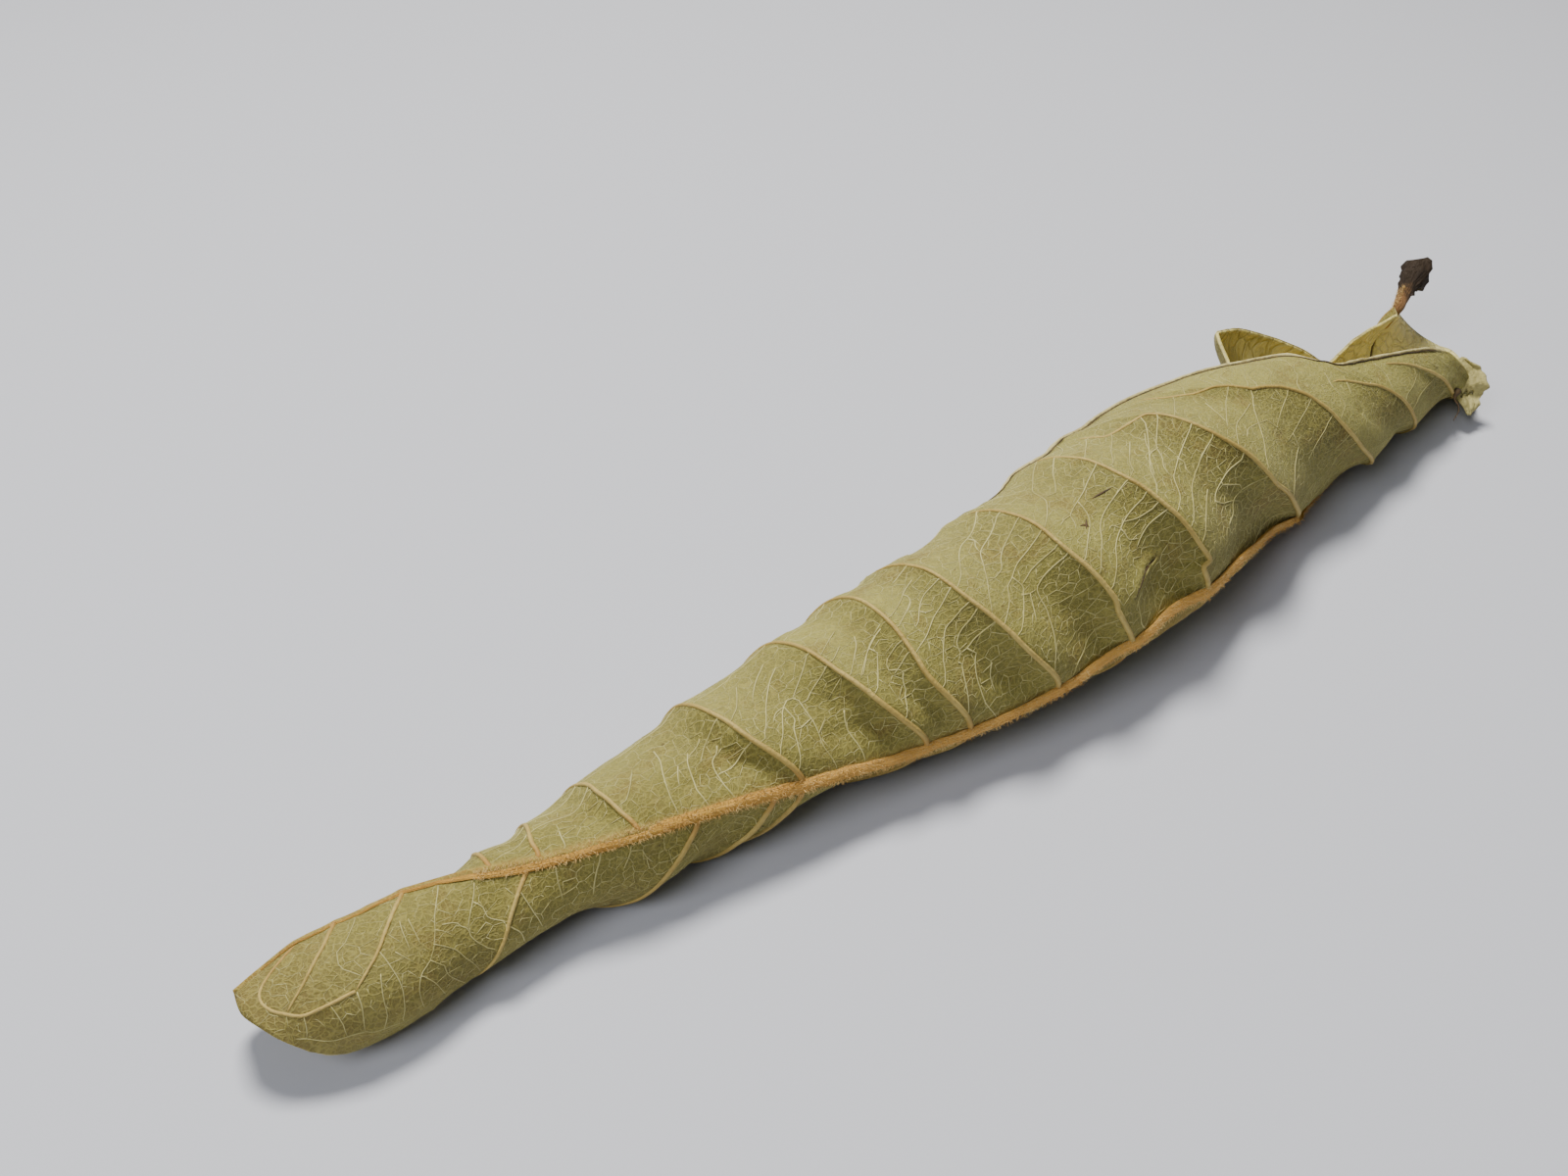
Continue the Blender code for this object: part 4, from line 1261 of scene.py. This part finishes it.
def underside_material():
    """Dry guava leaf, lower face: matt khaki, downy, with a net of the finest veins."""
    material, tree, shader = material_nodes("dry_leaf_underside", 0.78)
    place = flat_mm(tree)
    base = tint(tree, grain(tree, place, 13.0, 2.0), "#938D4B", "#857F46")
    # painted shade: the hollows on the tip side of each side vein are darkened, by an uneven amount
    # that grows towards the foot
    painted_hollow_shade = attribute(tree, "hollow")
    uneven = maths(tree, "ADD", maths(tree, "MULTIPLY", grain(tree, place, 4.0, 3.0), 0.5), 0.36)
    along = first_axis(tree, place)
    near_foot = maths(tree, "ADD", spread(tree, along, 60.0, 84.0), 1.0)
    uneven = maths(tree, "MINIMUM", maths(tree, "MULTIPLY", uneven, near_foot), 1.0)
    base = stain(tree, base, painted_hollow_shade, uneven, "#4E471B")
    share = attribute(tree, "outward")
    outward = maths(tree, "ABSOLUTE", share, 0.0)
    # painted shade: the lower half, turned down from the light, is darkened towards brown
    base = stain(tree, base, spread(tree, share, -0.35, 0.02, True), 0.45, "#6B5C34")
    # painted shade: the blade darkens towards the midrib, on the roll's lower front that faces away
    # from the light
    base = stain(tree, base, spread(tree, outward, 0.1, 0.55, True), 0.75, "#6B632C")
    base = stain(tree, base, spread(tree, along, -1.0, 7.0, True), 0.5, "#6E5A30")
    # painted shadow: the outermost strip of the upper half, past about 62 mm, is darkened as if
    # shaded by the curled margin
    edge = maths(tree, "MULTIPLY", spread(tree, share, 0.966, 0.982),
                 spread(tree, along, 58.0, 66.0))
    base = stain(tree, base, edge, 0.8, "#4A4220")
    base = stain(tree, base, spread(tree, outward, 0.0, 0.07, True), 0.7, "#9A7434")
    base = stain(tree, base, grain(tree, place, 3.2, 4.0, 0.6, 0.50, 0.72), 0.7, "#6F5A2C")
    base = stain(tree, base, grain(tree, place, 0.9, 3.0), 0.30, "#726A2C")
    lines = net_lines(tree, warped(tree, place, 1.4, 0.9), 0.42, 0.07)
    base = stain(tree, base, lines, 0.30, "#B3A85A")
    down = grain(tree, place, 0.13, 2.0, 0.6, 0.4, 0.7)
    base = stain(tree, base, down, 0.20, "#B8AD62")
    specks = grain(tree, place, 0.55, 1.0, 0.5, 0.74, 0.80)
    base = stain(tree, base, specks, 0.75, "#5A4A28")
    tree.links.new(base, shader.inputs["Base Color"])
    height = maths(tree, "ADD", lines, maths(tree, "MULTIPLY", down, 0.45))
    add_bump(tree, shader, maths(tree, "ADD", height, grain(tree, place, 0.9, 3.0)), 0.03)
    shader.inputs["Specular IOR Level"].default_value = 0.25
    thin_blade(shader)
    shader.inputs["Sheen Weight"].default_value = 0.06
    shader.inputs["Sheen Roughness"].default_value = 0.45
    shader.inputs["Sheen Tint"].default_value = colour("#E8E2D0")
    return material


def upper_face_material():
    """Dry guava leaf, upper face: smoother, olive yellow, with the veins sunk as fine lines."""
    material, tree, shader = material_nodes("dry_leaf_upper_face", 0.62)
    place = flat_mm(tree)
    lines = net_lines(tree, warped(tree, place, 1.4, 0.9), 1.1, 0.16)
    base = tint(tree, grain(tree, place, 6.0, 3.0), "#D8CB7C", "#BDB068")
    base = stain(tree, base, grain(tree, place, 1.0, 3.0, 0.6, 0.5, 0.75), 0.5, "#7C6C38")
    base = stain(tree, base, lines, 0.35, "#85773E")
    share = attribute(tree, "outward")
    foot = first_axis(tree, place)
    # painted light: the upper face is lightened near the foot, where the inner wall at the open end
    # lies in shade
    base = stain(tree, base, spread(tree, foot, 109.0, 117.0), 0.42, "#E6DA94")
    # painted shade: a dark line along the groove over the midrib on the upper face
    apart = maths(tree, "ABSOLUTE", maths(tree, "ADD", share, -0.014), 0.0)
    groove = spread(tree, apart, 0.008, 0.026, True)
    base = tint(tree, groove, base, "#54451F")
    tree.links.new(base, shader.inputs["Base Color"])
    add_bump(tree, shader, maths(tree, "SUBTRACT", grain(tree, place, 0.8, 3.0), lines), 0.08)
    thin_blade(shader)
    return material


def margin_material():
    """Thin pale margin of a dry leaf, browned in spots."""
    material, tree, shader = material_nodes("dry_leaf_margin", 0.7)
    place = object_mm(tree)
    base = tint(tree, grain(tree, place, 1.6, 3.0, 0.6, 0.35, 0.75), "#C6BA80", "#97874E")
    tree.links.new(base, shader.inputs["Base Color"])
    add_bump(tree, shader, grain(tree, place, 0.3), 0.04)
    return material


def vein_material():
    """Woody side vein of a dry leaf: straw coloured, faintly brown in places, downy."""
    material, tree, shader = material_nodes("dry_leaf_side_vein", 0.66)
    place = object_mm(tree)
    base = tint(tree, grain(tree, place, 4.0, 3.0), "#BDA75C", "#A88E44")
    base = stain(tree, base, grain(tree, place, 0.35, 3.0), 0.4, "#94793A")
    root = attribute(tree, "outward")
    base = tint(tree, spread(tree, root, 0.0, 0.08, True), base, "#A87C34")
    tree.links.new(base, shader.inputs["Base Color"])
    add_bump(tree, shader, grain(tree, place, 0.25), 0.03)
    return material


def net_material():
    """Fine veins of a dry leaf, paler than the blade between them."""
    material, tree, shader = material_nodes("dry_leaf_fine_vein", 0.72)
    base = tint(tree, grain(tree, object_mm(tree), 2.5, 3.0), "#C2B97C", "#A69C5E")
    tree.links.new(base, shader.inputs["Base Color"])
    return material


def midrib_material():
    """Woody midrib and stalk of a dry leaf: fibrous orange brown, near black at the broken end."""
    material, tree, shader = material_nodes("dry_leaf_midrib", 0.68)
    place = flat_mm(tree)
    along = first_axis(tree, place)
    drawn = add_node(tree, "ShaderNodeVectorMath", {"operation": "MULTIPLY"},
                     {0: place, 1: (0.35, 3.0, 1.0)}).outputs[0]
    fibres = grain(tree, drawn, 0.8, 4.0, 0.65, 0.35, 0.68)
    base = tint(tree, grain(tree, place, 5.0, 3.0), "#E4B350", "#CF9A45")
    # painted light: the middle stretch of the midrib is lightened, where it lies on the roll's
    # shaded underside
    low = maths(tree, "MULTIPLY", spread(tree, along, -96.0, -78.0),
                spread(tree, along, -52.0, -38.0, True))
    base = stain(tree, base, low, 0.6, "#F4BE62")
    base = stain(tree, base, fibres, 0.5, "#B07E38")
    down = grain(tree, place, 0.16, 2.0, 0.6, 0.5, 0.72)
    base = stain(tree, base, down, 0.35, "#E6C883")
    rough = maths(tree, "MULTIPLY", grain(tree, place, 1.2, 4.0, 0.6), 1.6)
    ragged = maths(tree, "ADD", along, rough)
    base = tint(tree, spread(tree, ragged, -0.6, 3.0), base, "#84603A")
    base = tint(tree, spread(tree, ragged, 4.6, 6.2), base, "#33271A")
    tree.links.new(base, shader.inputs["Base Color"])
    add_bump(tree, shader, maths(tree, "ADD", fibres, down), 0.07)
    shader.inputs["Specular IOR Level"].default_value = 0.25
    return material


def flap_material():
    """Torn scrap of a dry leaf, bleached pale yellow, with brown specks and edges."""
    material, tree, shader = material_nodes("dry_leaf_flap", 0.7)
    place = object_mm(tree)
    base = tint(tree, grain(tree, place, 1.5, 3.0), "#B8AD6E", "#968B50")
    base = tint(tree, grain(tree, place, 0.5, 3.0, 0.6, 0.62, 0.74), base, "#5E4C28")
    tree.links.new(base, shader.inputs["Base Color"])
    add_bump(tree, shader, grain(tree, place, 0.4), 0.06)
    return material


def dark_material():
    """Dark dead fibre, and painted shade: the dark depth of the cracks and the tear and the shadow
    line under the upper margin.
    """
    material, tree, shader = material_nodes("dry_leaf_dark_fibre_and_painted_shade", 0.8)
    base = tint(tree, grain(tree, object_mm(tree), 0.6), "#3A2E1C", "#5A4526")
    tree.links.new(base, shader.inputs["Base Color"])
    return material


def hair_material():
    """Short pale orange hairs of the leaf's down."""
    material, tree, shader = material_nodes("dry_leaf_down", 0.6)
    base = tint(tree, grain(tree, object_mm(tree), 2.0), "#E4C884", "#D2A55A")
    tree.links.new(base, shader.inputs["Base Color"])
    return material


def add_light(name, place, target, size, power, hue):
    """A round area lamp, with its places and size in metres and its power in watts."""
    data = bpy.data.lights.new(name, "AREA")
    data.shape = "DISK"
    data.size = size
    data.energy = power
    data.color = colour(hue)[:3]
    lamp = linked_object(name, data)
    lamp.location = place
    lamp.rotation_euler = (Vector(target) - Vector(place)).to_track_quat("-Z", "Y").to_euler()


def build_stage():
    """Pale paper floor, soft window light and the camera."""
    mesh = bmesh.new()
    bmesh.ops.create_grid(mesh, x_segments=2, y_segments=2, size=1.5)
    data = bpy.data.meshes.new("paper_floor")
    mesh.to_mesh(data)
    mesh.free()
    floor = linked_object("paper_floor", data)
    material, _, shader = material_nodes("plain_paper", 0.85)
    shader.inputs["Base Color"].default_value = colour("#BFC0C6")
    data.materials.append(material)
    world = bpy.data.worlds.new("soft_room")
    bpy.context.scene.world = world
    world.use_nodes = True
    back = world.node_tree.nodes["Background"]
    back.inputs["Color"].default_value = colour("#DDE2EA")
    back.inputs["Strength"].default_value = 0.15
    add_light("window_light", (0.03, 0.14, 0.42), (-0.02, 0.0, 0.0), 0.14, 3.3, "#FFFDF8")
    add_light("floor_light", (-0.26, -0.06, 0.26), (-0.14, -0.02, 0.0), 0.20, 0.7, "#F4F7FF")
    camera = bpy.data.cameras.new("camera")
    camera.sensor_width = 36.0
    camera.lens = 33.75
    camera.clip_start = 0.001
    eye = linked_object("camera", camera)
    right, up, ahead = (Vector(way) for way in VIEW)
    turn = Matrix((right, up, -ahead)).transposed().to_4x4()
    eye.matrix_world = Matrix.Translation(Vector(VIEW_PLACE) * MM) @ turn
    bpy.context.scene.camera = eye


class LeafShape(bpy.types.PropertyGroup):
    """Sizes of the blade."""
    thickness: bpy.props.FloatProperty(
        name="Blade thickness", description="Thickness of the dry blade",
        default=0.28 * MM, min=0.0001, unit="LENGTH")
    hollow_depth: bpy.props.FloatProperty(
        name="Hollow depth", description="Depth of the hollow between two side veins",
        default=1.0 * MM, min=0.0, unit="LENGTH")
    quilt_depth: bpy.props.FloatProperty(
        name="Quilt depth", description="How far the blade sinks between its cross veins",
        default=0.06 * MM, min=0.0, unit="LENGTH")
    pucker_height: bpy.props.FloatProperty(
        name="Pucker height", description="Height of the uneven puckers of the dry blade",
        default=0.18 * MM, min=0.0, unit="LENGTH")
    columns: bpy.props.IntProperty(
        name="Columns", description="Mesh columns along the leaf", default=350, min=50)
    rows: bpy.props.IntProperty(
        name="Rows", description="Mesh rows across the leaf", default=139, min=21)


class LeafVeins(bpy.types.PropertyGroup):
    """Sizes of the veins."""
    side_width: bpy.props.FloatProperty(
        name="Side vein width", description="Width of a side vein where it leaves the midrib",
        default=0.46 * MM, min=0.0001, unit="LENGTH")
    side_end_width: bpy.props.FloatProperty(
        name="Side vein end width", description="Width of a side vein at its far end",
        default=0.20 * MM, min=0.00005, unit="LENGTH")
    cross_width: bpy.props.FloatProperty(
        name="Cross vein width", description="Width of a vein that runs between two side veins",
        default=0.125 * MM, min=0.00005, unit="LENGTH")
    net_width: bpy.props.FloatProperty(
        name="Net width", description="Width of the finest raised veins",
        default=0.058 * MM, min=0.00002, unit="LENGTH")
    net_cell: bpy.props.FloatProperty(
        name="Net cell", description="Size of the smallest cells of the net",
        default=0.85 * MM, min=0.0003, unit="LENGTH")
    hairs: bpy.props.IntProperty(
        name="Hairs", description="Number of short hairs on the midrib", default=6000, min=0)


class LEAF_OT_add_blade(bpy.types.Operator):
    """Add the rolled blade of the dried leaf"""
    bl_idname = "leaf.add_blade"
    bl_label = "Add blade"

    def execute(self, context):
        build_blade()
        return {"FINISHED"}


class LEAF_OT_add_midrib(bpy.types.Operator):
    """Add the midrib and the stalk"""
    bl_idname = "leaf.add_midrib"
    bl_label = "Add midrib and stalk"

    def execute(self, context):
        build_midrib()
        return {"FINISHED"}


class LEAF_OT_add_side_veins(bpy.types.Operator):
    """Add the raised side veins"""
    bl_idname = "leaf.add_side_veins"
    bl_label = "Add side veins"

    def execute(self, context):
        build_side_veins()
        return {"FINISHED"}


class LEAF_OT_add_cross_veins(bpy.types.Operator):
    """Add the cross veins and the fine net between them"""
    bl_idname = "leaf.add_cross_veins"
    bl_label = "Add cross veins and net"

    def execute(self, context):
        build_cross_veins()
        build_fine_net()
        return {"FINISHED"}


class LEAF_OT_add_margin(bpy.types.Operator):
    """Add the pale cord along the blade's margin"""
    bl_idname = "leaf.add_margin"
    bl_label = "Add margin"

    def execute(self, context):
        build_margin()
        return {"FINISHED"}


class LEAF_OT_add_torn_bits(bpy.types.Operator):
    """Add the torn flap, the dark thread and the cracks"""
    bl_idname = "leaf.add_torn_bits"
    bl_label = "Add torn bits"

    def execute(self, context):
        build_torn_bits()
        return {"FINISHED"}


class LEAF_OT_add_hairs(bpy.types.Operator):
    """Add the down of short hairs on the midrib"""
    bl_idname = "leaf.add_hairs"
    bl_label = "Add down"

    def execute(self, context):
        build_hairs()
        return {"FINISHED"}


class LEAF_OT_add_stage(bpy.types.Operator):
    """Add the paper floor, the light and the camera"""
    bl_idname = "leaf.add_stage"
    bl_label = "Add stage"

    def execute(self, context):
        build_stage()
        return {"FINISHED"}


OPERATORS = (
    LEAF_OT_add_blade, LEAF_OT_add_midrib, LEAF_OT_add_side_veins, LEAF_OT_add_cross_veins,
    LEAF_OT_add_margin, LEAF_OT_add_torn_bits, LEAF_OT_add_hairs, LEAF_OT_add_stage,
)


class LEAF_PT_panel(bpy.types.Panel):
    """Sidebar panel that lists the leaf's pieces"""
    bl_label = "Dried leaf"
    bl_idname = "LEAF_PT_panel"
    bl_space_type = "VIEW_3D"
    bl_region_type = "UI"
    bl_category = "Leaf"

    def draw(self, context):
        layout = self.layout
        for group in (context.scene.leaf_shape, context.scene.leaf_veins):
            for name in group.bl_rna.properties.keys():
                if name not in ("rna_type", "name"):
                    layout.prop(group, name)
        for operator in OPERATORS:
            layout.operator(operator.bl_idname)


CLASSES = (LeafShape, LeafVeins, *OPERATORS, LEAF_PT_panel)


def register():
    """Make the sizes, the operators and the panel known."""
    for item in CLASSES:
        bpy.utils.register_class(item)
    bpy.types.Scene.leaf_shape = bpy.props.PointerProperty(type=LeafShape)
    bpy.types.Scene.leaf_veins = bpy.props.PointerProperty(type=LeafVeins)


def unregister():
    """Take them away again."""
    del bpy.types.Scene.leaf_veins
    del bpy.types.Scene.leaf_shape
    for item in reversed(CLASSES):
        bpy.utils.unregister_class(item)


def main():
    """Build every piece and the stage."""
    register()
    bpy.ops.leaf.add_blade()
    bpy.ops.leaf.add_midrib()
    bpy.ops.leaf.add_side_veins()
    bpy.ops.leaf.add_cross_veins()
    bpy.ops.leaf.add_margin()
    bpy.ops.leaf.add_torn_bits()
    bpy.ops.leaf.add_hairs()
    bpy.ops.leaf.add_stage()


if __name__ == "__main__":
    main()
